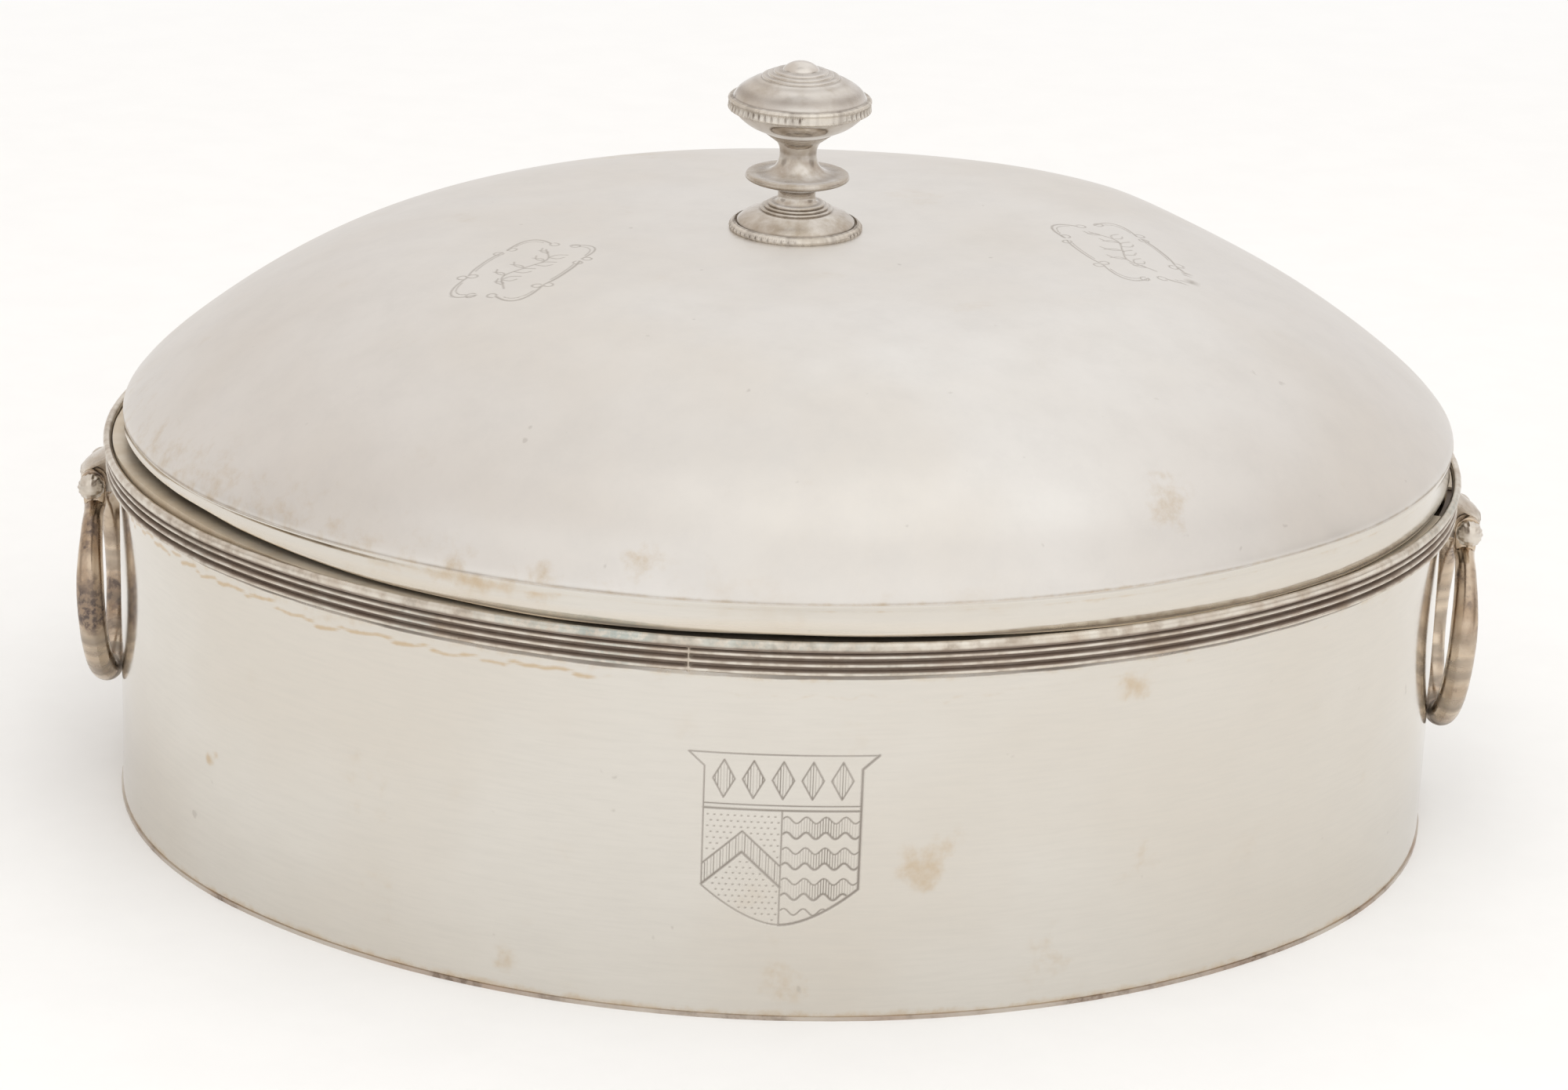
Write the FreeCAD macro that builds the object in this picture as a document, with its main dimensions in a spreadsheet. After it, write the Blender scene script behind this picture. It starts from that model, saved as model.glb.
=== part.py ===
import FreeCAD, Part
import math
import os

import Sketcher

# Oval warming dish: a straight-walled hot-water tub, a lift-out food pan, a domed
# cover with a turned knob, and two hooded drop-ring handles.
# Frame: origin at the middle of the base, +Z up, +X along the length, the
# engraved front at -Y. Lengths in millimetres, angles in degrees.

SIZES = {
    # plan of the tub: an oval struck from four centres
    "half_long": 228.6,
    "half_short": 195.0,
    # tub
    "wall": 1.2,
    "base_thick": 1.4,
    "base_lip": 0.5,
    # reeded band round the mouth and the wire on top of it
    "band_bottom": 117.2,
    "strip": 2.3,
    "reed_pitch": 2.8,
    "reed_proud": 1.8,
    "reed_foot": 2.2,
    "wire_inner": 1.9,
    "wire_outer": 4.7,
    "wire_bevel": 1.0,
    "wire_tall": 3.6,
    "wall_over_band": 0.4,
    # food pan
    "pan_sheet": 1.0,
    "pan_play": 0.4,
    "pan_inset": 7.5,
    "pan_draft": 7.0,
    "pan_floor": 58.0,
    "pan_corner": 14.0,
    "pan_floor_ring": 26.0,
    "notch_long": 31.0,
    "notch_turn": -14.0,
    # cover
    "cover_shift": 1.5,
    "cover_inset": 0.6,
    "cover_sheet": 1.2,
    "crease_overhang": 0.4,
    "bezel_tall": 12.3,
    "dome_rise": 64.0,
    # knob, heights above the crown of the cover
    "foot_radius": 20.9,
    "foot_edge": 1.9,
    "foot_border": 1.9,
    "foot_border_edge": 0.8,
    "foot_border_tall": 2.4,
    "foot_bend_radius": 17.8,
    "foot_bend_level": 5.0,
    "foot_top": 6.6,
    "ring_radius_low": 12.2,
    "ring_step": 2.2,
    "ring_rise": 1.2,
    "stem_radius": 6.2,
    "stem_foot_radius": 7.8,
    "collar_radius": 17.7,
    "collar_level": 18.3,
    "collar_edge": 1.2,
    "stem_top": 29.0,
    "bowl_neck": 11.6,
    "bowl_neck_level": 33.4,
    "bowl_bend_radius": 19.2,
    "bowl_bend_level": 37.2,
    "bowl_radius": 22.6,
    "bowl_level": 41.0,
    "knob_band_proud": 1.8,
    "knob_band_tall": 4.6,
    "knob_band_lip": 0.8,
    "cap_bend_radius": 19.4,
    "cap_bend_level": 49.4,
    "cap_ring_radius": 13.2,
    "cap_top": 52.2,
    "button_radius": 6.1,
    "button_rise": 3.2,
    "stud_radius": 3.0,
    "stud_play": 0.1,
    "stud_below": 8.5,
    "nut_flats": 11.0,
    "nut_tall": 5.0,
    "washer_radius": 9.0,
    "washer_thick": 1.2,
    # handles, one at each end
    "pin_out": 9.0,
    "pin_level": 106.0,
    "pin_radius": 2.0,
    "pin_play": 0.03,
    "ring_play": 0.07,
    "web_half": 6.0,
    "web_lobe": 5.0,
    "web_root": 5.0,
    "hood_half": 11.5,
    "hood_sheet": 1.2,
    "hood_start": 3.8,
    "hood_tip": 14.6,
    "hood_tip_drop": 8.0,
    "lug_tall": 17.4,
    "eye_gap": 0.3,
    "eye_radius": 4.4,
    "eye_thick": 4.4,
    "eye_neck_half": 3.2,
    "ball_radius": 4.7,
    "ball_out": 3.5,
    "ball_gap": 0.2,
    "rivet_grip": 2.4,
    "ring_radius": 31.5,
    "ring_neck": 7.0,
    "rod_radius": 4.4,
    "ring_rest_gap": 0.3,
    "ring_mouth_turn": 30.0,
    # one overrun for every cut
    "overrun": 5.0,
}

# How far the radius of the plan's ends falls short of the half width, as a share of what the
# half length has over the half width; the cover's ovals are struck by the same rule
END_FALL_SHARE = 0.6845
# Shape of the cover: its curve from the crease to the flat crown, seen along and across,
# how wide the crown is, and how round the plan is there
COVER_SQUARENESS_SHARE = 4.0
COVER_FULLNESS_SHARE = 0.95
SIDE_SQUARENESS_SHARE = 3.0
SIDE_FULLNESS_SHARE = 2.5
CROWN_WIDTH_SHARE = 0.10
CROWN_ROUNDNESS_SHARE = 0.99
COVER_LEVELS = 8
# The band has this many reeds
REEDS = 3
# The rod of each drop ring is drawn with this many flats
ROD_FLATS = 12

doc = FreeCAD.newDocument("warming_dish")
sheet = doc.addObject("Spreadsheet::Sheet", "sizes")
for row, (alias, size) in enumerate(SIZES.items(), 1):
    sheet.set(f"A{row}", alias)
    sheet.set(f"B{row}", str(size))
    sheet.setAlias(f"B{row}", alias)
doc.recompute()

PARTS = []
V = FreeCAD.Vector


class Term:
    """A length as the sheet's expression and as its present value, kept in step."""

    def __init__(self, text, value):
        self.text = text
        self.value = value

    def joined(self, other, sign):
        other = other if isinstance(other, Term) else Term(repr(other), other)
        values = {
            "+": lambda a, b: a + b,
            "-": lambda a, b: a - b,
            "*": lambda a, b: a * b,
            "/": lambda a, b: a / b,
        }
        return Term(f"({self.text} {sign} {other.text})", values[sign](self.value, other.value))

    def __add__(self, other):
        return self.joined(other, "+")

    def __sub__(self, other):
        return self.joined(other, "-")

    def __mul__(self, other):
        return self.joined(other, "*")

    def __truediv__(self, other):
        return self.joined(other, "/")

    def __neg__(self):
        return Term(f"(0 - {self.text})", -self.value)


def size(name):
    """The named cell of the sheet."""
    return Term(f"sizes.{name}", SIZES[name])


ZERO = Term("0", 0.0)


def new_body(name):
    """A sub-part built as a body; its label is the name of its file."""
    body = doc.addObject("PartDesign::Body", name)
    PARTS.append(body)
    return body


def plane_of(body, role):
    return next(item for item in body.Origin.OriginFeatures if item.Role == role)


def new_sketch(body, name, role, level=ZERO):
    """A sketch on one of the body's own planes, raised by level along its normal."""
    sketch = body.newObject("Sketcher::SketchObject", name)
    sketch.AttachmentSupport = (plane_of(body, role), [""])
    sketch.MapMode = "FlatFace"
    sketch.setExpression("AttachmentOffset.Base.z", level.text)
    return sketch


def bind(sketch, constraint, term):
    index = sketch.addConstraint(constraint)
    sketch.setExpression(f"Constraints[{index}]", term.text)


def hold_point(sketch, geometry, position, kind, term):
    """Hold a point at one length from the sketch's origin, along X or along Y."""
    if term.value == 0:
        axis = -2 if kind == "DistanceX" else -1
        sketch.addConstraint(Sketcher.Constraint("PointOnObject", geometry, position, axis))
    elif term.value > 0:
        bind(sketch, Sketcher.Constraint(kind, -1, 1, geometry, position, term.value), term)
    else:
        bind(sketch, Sketcher.Constraint(kind, geometry, position, -1, 1, -term.value), -term)


def pin_point(sketch, geometry, position, x, y):
    """Hold a point of the sketch at the two lengths x and y from its origin."""
    hold_point(sketch, geometry, position, "DistanceX", x)
    hold_point(sketch, geometry, position, "DistanceY", y)


def end_radius_of(half_long, half_short):
    """The radius that the ends of an oval have by the plan's rule."""
    return half_short - (half_long - half_short) * END_FALL_SHARE


def add_oval(sketch, half_long, half_short, end_radius):
    """A closed oval of four tangent arcs, given by its two half axes and its end radius."""
    reach = half_long - end_radius
    spare = half_short - end_radius
    drop = (reach * reach - spare * spare) / (spare * 2)
    side_radius = half_short + drop
    corner_x = reach + end_radius * reach / (side_radius - end_radius)
    corner_y = end_radius * drop / (side_radius - end_radius)
    turn = math.atan2(corner_y.value, (corner_x - reach).value)
    arcs = (
        (V(reach.value, 0, 0), end_radius.value, -turn, turn),
        (V(0, -drop.value, 0), side_radius.value, turn, math.pi - turn),
        (V(-reach.value, 0, 0), end_radius.value, math.pi - turn, math.pi + turn),
        (V(0, drop.value, 0), side_radius.value, math.pi + turn, 2 * math.pi - turn),
    )
    right, back, left, front = (
        sketch.addGeometry(Part.ArcOfCircle(Part.Circle(centre, V(0, 0, 1), radius), start, end), False)
        for centre, radius, start, end in arcs
    )
    ring = (right, back, left, front)
    for one, following in zip(ring, ring[1:] + ring[:1]):
        sketch.addConstraint(Sketcher.Constraint("Coincident", one, 2, following, 1))
    sketch.addConstraint(Sketcher.Constraint("Horizontal", right, 2, back, 2))
    sketch.addConstraint(Sketcher.Constraint("Vertical", back, 2, left, 2))
    sketch.addConstraint(Sketcher.Constraint("Vertical", right, 2, front, 2))
    pin_point(sketch, right, 3, reach, ZERO)
    pin_point(sketch, left, 3, -reach, ZERO)
    pin_point(sketch, back, 3, ZERO, -drop)
    hold_point(sketch, front, 3, "DistanceY", drop)
    pin_point(sketch, right, 2, corner_x, corner_y)


def add_plan(sketch, offset):
    """The tub's plan, offset outward by a length, or inward by a negative one."""
    add_oval(sketch, size("half_long") + offset, size("half_short") + offset, end_radius + offset)


def add_outline(sketch, points):
    """A closed outline. Each point is (x, y), or (x, y, radius, side) where an arc runs
    from it to the next point, bulging to its left (+1) or right (-1) as it runs."""
    first = None
    last = None
    for point, following in zip(points, points[1:] + points[:1]):
        start = V(point[0].value, point[1].value, 0)
        end = V(following[0].value, following[1].value, 0)
        if len(point) == 2:
            geometry = sketch.addGeometry(Part.LineSegment(start, end), False)
            begin, finish = 1, 2
        else:
            radius, side = point[2], point[3]
            chord = end - start
            across = V(-chord.y, chord.x, 0).normalize()
            rise = math.sqrt(radius.value ** 2 - (chord.Length / 2) ** 2)
            centre = (start + end) * 0.5 - across * (side * rise)
            middle = centre + across * (side * radius.value)
            geometry = sketch.addGeometry(Part.Arc(start, middle, end), False)
            # an arc's own points run counter-clockwise
            begin, finish = (1, 2) if side < 0 else (2, 1)
            bind(sketch, Sketcher.Constraint("Radius", geometry, radius.value), radius)
        pin_point(sketch, geometry, begin, point[0], point[1])
        if last is not None:
            sketch.addConstraint(Sketcher.Constraint("Coincident", last[0], last[1], geometry, begin))
        else:
            first = (geometry, begin)
        last = (geometry, finish)
    sketch.addConstraint(Sketcher.Constraint("Coincident", last[0], last[1], first[0], first[1]))


def pad(body, name, sketch, length, both_ways=False):
    feature = body.newObject("PartDesign::Pad", name)
    feature.Profile = sketch
    feature.Midplane = both_ways
    feature.setExpression("Length", length.text)
    return feature


def pocket_through(body, name, sketch):
    """Cut the sketch through the whole body, both ways."""
    feature = body.newObject("PartDesign::Pocket", name)
    feature.Profile = sketch
    feature.Type = "ThroughAll"
    feature.Midplane = True
    return feature


def pipe(body, name, profile, spine):
    """Run a section round the closed spine."""
    feature = body.newObject("PartDesign::AdditivePipe", name)
    feature.Profile = profile
    feature.Spine = (spine, [f"Edge{number}" for number in (1, 2, 3, 4)])
    return feature


def turn(body, name, points):
    """Turn an outline in radius and height about the body's own Z axis."""
    profile = new_sketch(body, name + "_outline", "XZ_Plane")
    add_outline(profile, points)
    feature = body.newObject("PartDesign::Revolution", name)
    feature.Profile = profile
    feature.ReferenceAxis = (profile, ["V_Axis"])
    feature.Angle = 360
    return feature


def stand(part, x, y, z, turned=0.0):
    """Place a sub-part, turned about the vertical by an angle."""
    part.Placement = FreeCAD.Placement(V(x, y, z), FreeCAD.Rotation(V(0, 0, 1), turned))


# Heights and lengths that several sub-parts share
end_radius = end_radius_of(size("half_long"), size("half_short"))
band_top = size("band_bottom") + size("reed_pitch") * REEDS
rim_top = band_top + size("wire_tall")
wall_top = band_top + size("wall_over_band")
flange_top = wall_top + size("pan_sheet")
crease_level = flange_top + size("bezel_tall")
crown_level = crease_level + size("dome_rise")
crown = (size("cover_shift").value, 0, crown_level.value)
stud_bore = size("stud_radius") + size("stud_play")


def make_tub():
    """Base plate, wall, reeded band and rim wire of the hot-water tub."""
    base = new_body("base_plate")
    plan = new_sketch(base, "base_plan", "XY_Plane")
    add_plan(plan, size("base_lip"))
    pad(base, "base_sheet", plan, size("base_thick"))

    wall = new_body("tub_wall")
    plan = new_sketch(wall, "wall_plan", "XY_Plane", size("base_thick"))
    add_plan(plan, ZERO)
    add_plan(plan, -size("wall"))
    pad(wall, "wall_sheet", plan, wall_top - size("base_thick"))

    band = new_body("reeded_band")
    spine = new_sketch(band, "band_spine", "XY_Plane", size("band_bottom"))
    add_plan(spine, ZERO)
    section = new_sketch(band, "band_section", "XZ_Plane")
    back = size("half_long")
    ground = back + size("strip")
    crest = ground + size("reed_proud")
    points = [(back, size("band_bottom")), (ground, size("band_bottom"))]
    for reed in range(REEDS):
        middle = size("band_bottom") + size("reed_pitch") * (reed + 0.5)
        points += [
            (ground, middle - size("reed_foot") / 2),
            (crest, middle),
            (ground, middle + size("reed_foot") / 2),
        ]
    points += [(ground, band_top), (back, band_top)]
    add_outline(section, points)
    pipe(band, "band_run", section, spine)

    wire = new_body("rim_wire")
    spine = new_sketch(wire, "wire_spine", "XY_Plane", band_top)
    add_plan(spine, size("wire_inner"))
    section = new_sketch(wire, "wire_section", "XZ_Plane")
    inner = size("half_long") + size("wire_inner")
    outer = size("half_long") + size("wire_outer")
    bevel = size("wire_bevel")
    add_outline(section, [
        (inner, band_top),
        (outer, band_top),
        (outer, rim_top - bevel),
        (outer - bevel, rim_top),
        (inner + bevel, rim_top),
        (inner, rim_top - bevel),
    ])
    pipe(wire, "wire_run", section, spine)


def make_pan():
    """The food pan: flange, drafted wall, rounded corner and floor, with a filling notch."""
    pan = new_body("food_pan")
    sheet_thick = size("pan_sheet")
    spine = new_sketch(pan, "pan_spine", "XY_Plane", wall_top)
    add_plan(spine, ZERO)
    section = new_sketch(pan, "pan_section", "XZ_Plane")
    rim = size("half_long") + size("wire_inner") - size("pan_play")
    mouth = size("half_long") - size("pan_inset")
    foot = mouth - size("pan_draft")
    corner = size("pan_corner")
    floor = size("pan_floor")
    ring = foot - size("pan_floor_ring")
    # the corner is raised in two flats, its bend a third of the corner from each side
    bend = corner / 3
    add_outline(section, [
        (rim, wall_top),
        (rim, flange_top),
        (mouth, flange_top),
        (foot, floor + sheet_thick + corner),
        (foot - bend, floor + sheet_thick + bend),
        (foot - corner, floor + sheet_thick),
        (ring, floor + sheet_thick),
        (ring, floor),
        (foot - corner, floor),
        (foot - bend + sheet_thick, floor + bend),
        (foot + sheet_thick, floor + sheet_thick + corner),
        (mouth + sheet_thick, wall_top),
    ])
    pipe(pan, "pan_side", section, spine)
    plan = new_sketch(pan, "floor_plan", "XY_Plane", floor)
    add_plan(plan, ring - size("half_long"))
    pad(pan, "pan_floor", plan, sheet_thick)
    notch = new_sketch(pan, "notch_plan", "XY_Plane", wall_top - sheet_thick)
    notch.AttachmentOffset = FreeCAD.Placement(V(0, 0, 0), FreeCAD.Rotation(V(0, 0, 1), SIZES["notch_turn"]))
    notch.setExpression("AttachmentOffset.Base.x", (size("half_long") - end_radius).text)
    notch.setExpression("AttachmentOffset.Base.z", (wall_top - sheet_thick).text)
    near = end_radius - size("pan_inset") + sheet_thick * 2
    far = end_radius + size("wire_inner") + size("overrun")
    half = size("notch_long") / 2
    add_outline(notch, [(near, -half), (far, -half), (far, half), (near, half)])
    cut = pocket_through(pan, "filling_notch", notch)
    cut.Midplane = False
    cut.Reversed = True


def add_cover_level(body, name, step, sheet_thick):
    """One oval of the cover's dome, taken in by the sheet for the inner face. The steps
    are equal turns from the crease, step 0, to the edge of the flat crown."""
    width_share = CROWN_WIDTH_SHARE + (1 - CROWN_WIDTH_SHARE) * math.cos(math.pi / 2 * step / COVER_LEVELS)
    full_rise = 1 - CROWN_WIDTH_SHARE ** COVER_SQUARENESS_SHARE
    level_share = ((1 - width_share ** COVER_SQUARENESS_SHARE) / full_rise) ** (1 / COVER_FULLNESS_SHARE)
    side_share = (1 - level_share ** SIDE_FULLNESS_SHARE) ** (1 / SIDE_SQUARENESS_SHARE)
    inset = size("cover_inset") + sheet_thick
    long_edge = size("half_long") - inset
    short_edge = size("half_short") - inset
    half_long = long_edge * width_share
    crown_half_short = long_edge * (CROWN_WIDTH_SHARE * CROWN_ROUNDNESS_SHARE)
    half_short = crown_half_short + (short_edge - crown_half_short) * side_share
    plan = new_sketch(body, name, "XY_Plane", crease_level + (size("dome_rise") - sheet_thick) * level_share)
    add_oval(plan, half_long, half_short, end_radius_of(half_long, half_short))
    return plan


def make_cover():
    """The raised dome and the bezel soldered inside its edge."""
    dome = new_body("cover_dome")
    for skin, kind, sheet_thick in (
        ("outer", "PartDesign::AdditiveLoft", ZERO),
        ("inner", "PartDesign::SubtractiveLoft", size("cover_sheet")),
    ):
        levels = [
            add_cover_level(dome, f"{skin}_level_{step}", step, sheet_thick) for step in range(COVER_LEVELS + 1)
        ]
        loft = dome.newObject(kind, skin + "_skin")
        loft.Profile = levels[0]
        loft.Sections = levels[1:]
        loft.Ruled = True
    hole = new_sketch(dome, "stud_hole_plan", "XY_Plane", crown_level)
    circle = hole.addGeometry(Part.Circle(V(0, 0, 0), V(0, 0, 1), stud_bore.value), False)
    hole.addConstraint(Sketcher.Constraint("Coincident", circle, 3, -1, 1))
    bind(hole, Sketcher.Constraint("Radius", circle, stud_bore.value), stud_bore)
    pocket_through(dome, "stud_hole", hole)
    stand(dome, crown[0], 0, 0)

    bezel = new_body("cover_bezel")
    plan = new_sketch(bezel, "bezel_plan", "XY_Plane", flange_top)
    outer = -size("cover_inset") - size("crease_overhang")
    add_plan(plan, outer)
    add_plan(plan, outer - size("cover_sheet"))
    pad(bezel, "bezel_sheet", plan, crease_level - flange_top)
    stand(bezel, crown[0], 0, 0)


def make_knob():
    """The turned knob, its two stamped borders and the stud that holds it."""
    step = size("ring_step")
    rise = size("ring_rise")
    foot_top = size("foot_top")
    stem_foot = foot_top + rise * 2

    foot = new_body("knob_foot")
    ring_high = size("ring_radius_low") - step
    turn(foot, "foot_turned", [
        (ZERO, ZERO),
        (size("foot_radius"), ZERO),
        (size("foot_radius"), size("foot_edge")),
        (size("foot_bend_radius"), size("foot_bend_level")),
        (size("ring_radius_low"), foot_top),
        (size("ring_radius_low"), foot_top + rise),
        (ring_high, foot_top + rise),
        (ring_high, stem_foot),
        (ZERO, stem_foot),
    ])

    border = new_body("knob_foot_border")
    turn(border, "border_turned", [
        (size("foot_radius"), ZERO),
        (size("foot_radius") + size("foot_border"), ZERO),
        (size("foot_radius") + size("foot_border"), size("foot_border_edge")),
        (size("foot_radius"), size("foot_border_tall")),
    ])

    stem = new_body("knob_stem")
    collar = size("collar_level")
    half_edge = size("collar_edge") / 2
    turn(stem, "stem_turned", [
        (ZERO, stem_foot),
        (size("stem_foot_radius"), stem_foot),
        (size("stem_radius"), stem_foot + rise),
        (size("stem_radius"), collar - half_edge),
        (size("collar_radius"), collar - half_edge),
        (size("collar_radius"), collar + half_edge),
        (size("stem_radius"), collar + half_edge),
        (size("stem_radius"), size("stem_top")),
        (size("bowl_neck"), size("bowl_neck_level")),
        (ZERO, size("bowl_neck_level")),
    ])

    bowl = new_body("knob_bowl")
    band_low = size("bowl_level")
    band_high = band_low + size("knob_band_tall")
    band_middle = band_low + size("knob_band_tall") / 2
    turn(bowl, "bowl_turned", [
        (ZERO, size("bowl_neck_level")),
        (size("bowl_neck"), size("bowl_neck_level")),
        (size("bowl_bend_radius"), size("bowl_bend_level")),
        (size("bowl_radius"), band_low),
        (size("bowl_radius"), band_middle),
        (ZERO, band_middle),
    ])

    band = new_body("knob_band")
    proud = size("bowl_radius") + size("knob_band_proud")
    turn(band, "band_turned", [
        (size("bowl_radius"), band_low),
        (proud, band_low + size("knob_band_lip")),
        (proud, band_high - size("knob_band_lip")),
        (size("bowl_radius"), band_high),
    ])

    cap = new_body("knob_cap")
    top = size("cap_top")
    seat = top + rise * 2
    cap_ring_high = size("cap_ring_radius") - step
    turn(cap, "cap_turned", [
        (ZERO, band_middle),
        (size("bowl_radius"), band_middle),
        (size("bowl_radius"), band_high),
        (size("cap_bend_radius"), size("cap_bend_level")),
        (size("cap_ring_radius"), top),
        (size("cap_ring_radius"), top + rise),
        (cap_ring_high, top + rise),
        (cap_ring_high, seat),
        (ZERO, seat),
    ])

    button = new_body("knob_button")
    radius = size("button_radius")
    tall = size("button_rise")
    turn(button, "button_turned", [
        (ZERO, seat),
        (radius, seat),
        (radius, seat + tall / 3),
        (radius * 2 / 3, seat + tall * 5 / 6),
        (ZERO, seat + tall),
    ])

    under = -size("cover_sheet")
    stud = new_body("knob_stud")
    turn(stud, "stud_turned", [
        (ZERO, under - size("stud_below")),
        (size("stud_radius"), under - size("stud_below")),
        (size("stud_radius"), ZERO),
        (ZERO, ZERO),
    ])

    washer = new_body("knob_washer")
    turn(washer, "washer_turned", [
        (stud_bore, under - size("washer_thick")),
        (size("washer_radius"), under - size("washer_thick")),
        (size("washer_radius"), under),
        (stud_bore, under),
    ])

    nut = new_body("knob_nut")
    plan = new_sketch(nut, "nut_plan", "XY_Plane", under - size("washer_thick") - size("nut_tall"))
    half_flats = size("nut_flats") / 2
    corner = size("nut_flats") / math.sqrt(3)
    add_outline(plan, [
        (corner, ZERO),
        (corner / 2, half_flats),
        (-corner / 2, half_flats),
        (-corner, ZERO),
        (-corner / 2, -half_flats),
        (corner / 2, -half_flats),
    ])
    circle = plan.addGeometry(Part.Circle(V(0, 0, 0), V(0, 0, 1), stud_bore.value), False)
    plan.addConstraint(Sketcher.Constraint("Coincident", circle, 3, -1, 1))
    bind(plan, Sketcher.Constraint("Radius", circle, stud_bore.value), stud_bore)
    pad(nut, "nut_block", plan, size("nut_tall"))

    for piece in (foot, border, stem, bowl, band, cap, button, stud, washer, nut):
        stand(piece, *crown)


def make_lug(side, turned):
    """The cast bracket under the band: a web with the pin bore, and a sloping hood."""
    lug = new_body(f"handle_lug_{side}")
    wall_face = size("half_long")
    under = size("band_bottom")
    pin_x = wall_face + size("pin_out")
    pin_z = size("pin_level")
    lobe = size("web_lobe")
    root = wall_face - size("web_root")
    start = wall_face + size("hood_start")
    tip = wall_face + size("hood_tip")
    tip_z = under - size("hood_tip_drop")
    sheet_thick = size("hood_sheet")
    low = under - size("lug_tall")
    web = new_sketch(lug, "web_outline", "XZ_Plane")
    add_outline(web, [
        (root, low),
        (wall_face, low),
        (pin_x, pin_z - lobe, lobe, -1),
        (pin_x + lobe, pin_z),
        (tip, tip_z - sheet_thick),
        (tip, tip_z),
        (start, under),
        (root, under),
    ])
    pad(lug, "web", web, size("web_half") * 2, True)
    hood = new_sketch(lug, "hood_outline", "XZ_Plane")
    add_outline(hood, [
        (root, under - sheet_thick),
        (start - sheet_thick, under - sheet_thick),
        (tip, tip_z - sheet_thick),
        (tip, tip_z),
        (start, under),
        (root, under),
    ])
    pad(lug, "hood", hood, size("hood_half") * 2, True)
    plan = new_sketch(lug, "wall_relief", "XY_Plane")
    add_plan(plan, ZERO)
    pocket_through(lug, "wall_seat", plan)
    bore = new_sketch(lug, "pin_bore_outline", "XZ_Plane")
    radius = size("pin_radius") + size("pin_play")
    circle = bore.addGeometry(Part.Circle(V(pin_x.value, pin_z.value, 0), V(0, 0, 1), radius.value), False)
    pin_point(bore, circle, 3, pin_x, pin_z)
    bind(bore, Sketcher.Constraint("Radius", circle, radius.value), radius)
    pocket_through(lug, "pin_bore", bore)
    stand(lug, 0, 0, 0, turned)


def make_pins():
    """The two hinge pins, each with a ball head in front, and the balls riveted on behind."""
    head_seat = size("web_half") + size("eye_gap") + size("eye_thick") + size("ball_gap")
    ball = size("ball_radius")
    centre = head_seat + size("ball_out")
    seat_radius = Term(
        f"sqrt({(ball * ball - size('ball_out') * size('ball_out')).text})",
        math.sqrt(ball.value ** 2 - size("ball_out").value ** 2),
    )
    grip = size("rivet_grip")
    radius = size("pin_radius")
    socket = radius + size("pin_play")
    out = (size("half_long") + size("pin_out")).value
    pins = []
    balls = []
    for side, place in (("right", out), ("left", -out)):
        pin = doc.addObject("PartDesign::Body", f"pin_{side}")
        turn(pin, "pin_turned", [
            (ZERO, -head_seat - grip),
            (radius, -head_seat - grip),
            (radius, head_seat),
            (seat_radius, head_seat, ball, -1),
            (ZERO, centre + ball),
        ])
        rivet = doc.addObject("PartDesign::Body", f"ball_{side}")
        turn(rivet, "ball_turned", [
            (socket, head_seat),
            (seat_radius, head_seat, ball, -1),
            (ZERO, centre + ball),
            (ZERO, head_seat + grip),
            (socket, head_seat + grip),
        ])
        # the turned axis lies along Y, the pin's own head towards the front
        for piece, lean in ((pin, 90.0), (rivet, -90.0)):
            piece.Placement = FreeCAD.Placement(V(place, 0, SIZES["pin_level"]), FreeCAD.Rotation(V(1, 0, 0), lean))
        pins.append(pin)
        balls.append(rivet)
    for name, pieces in (("hinge_pins", pins), ("pin_balls", balls)):
        pair = doc.addObject("Part::Compound", name)
        pair.Links = pieces
        PARTS.append(pair)


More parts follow.
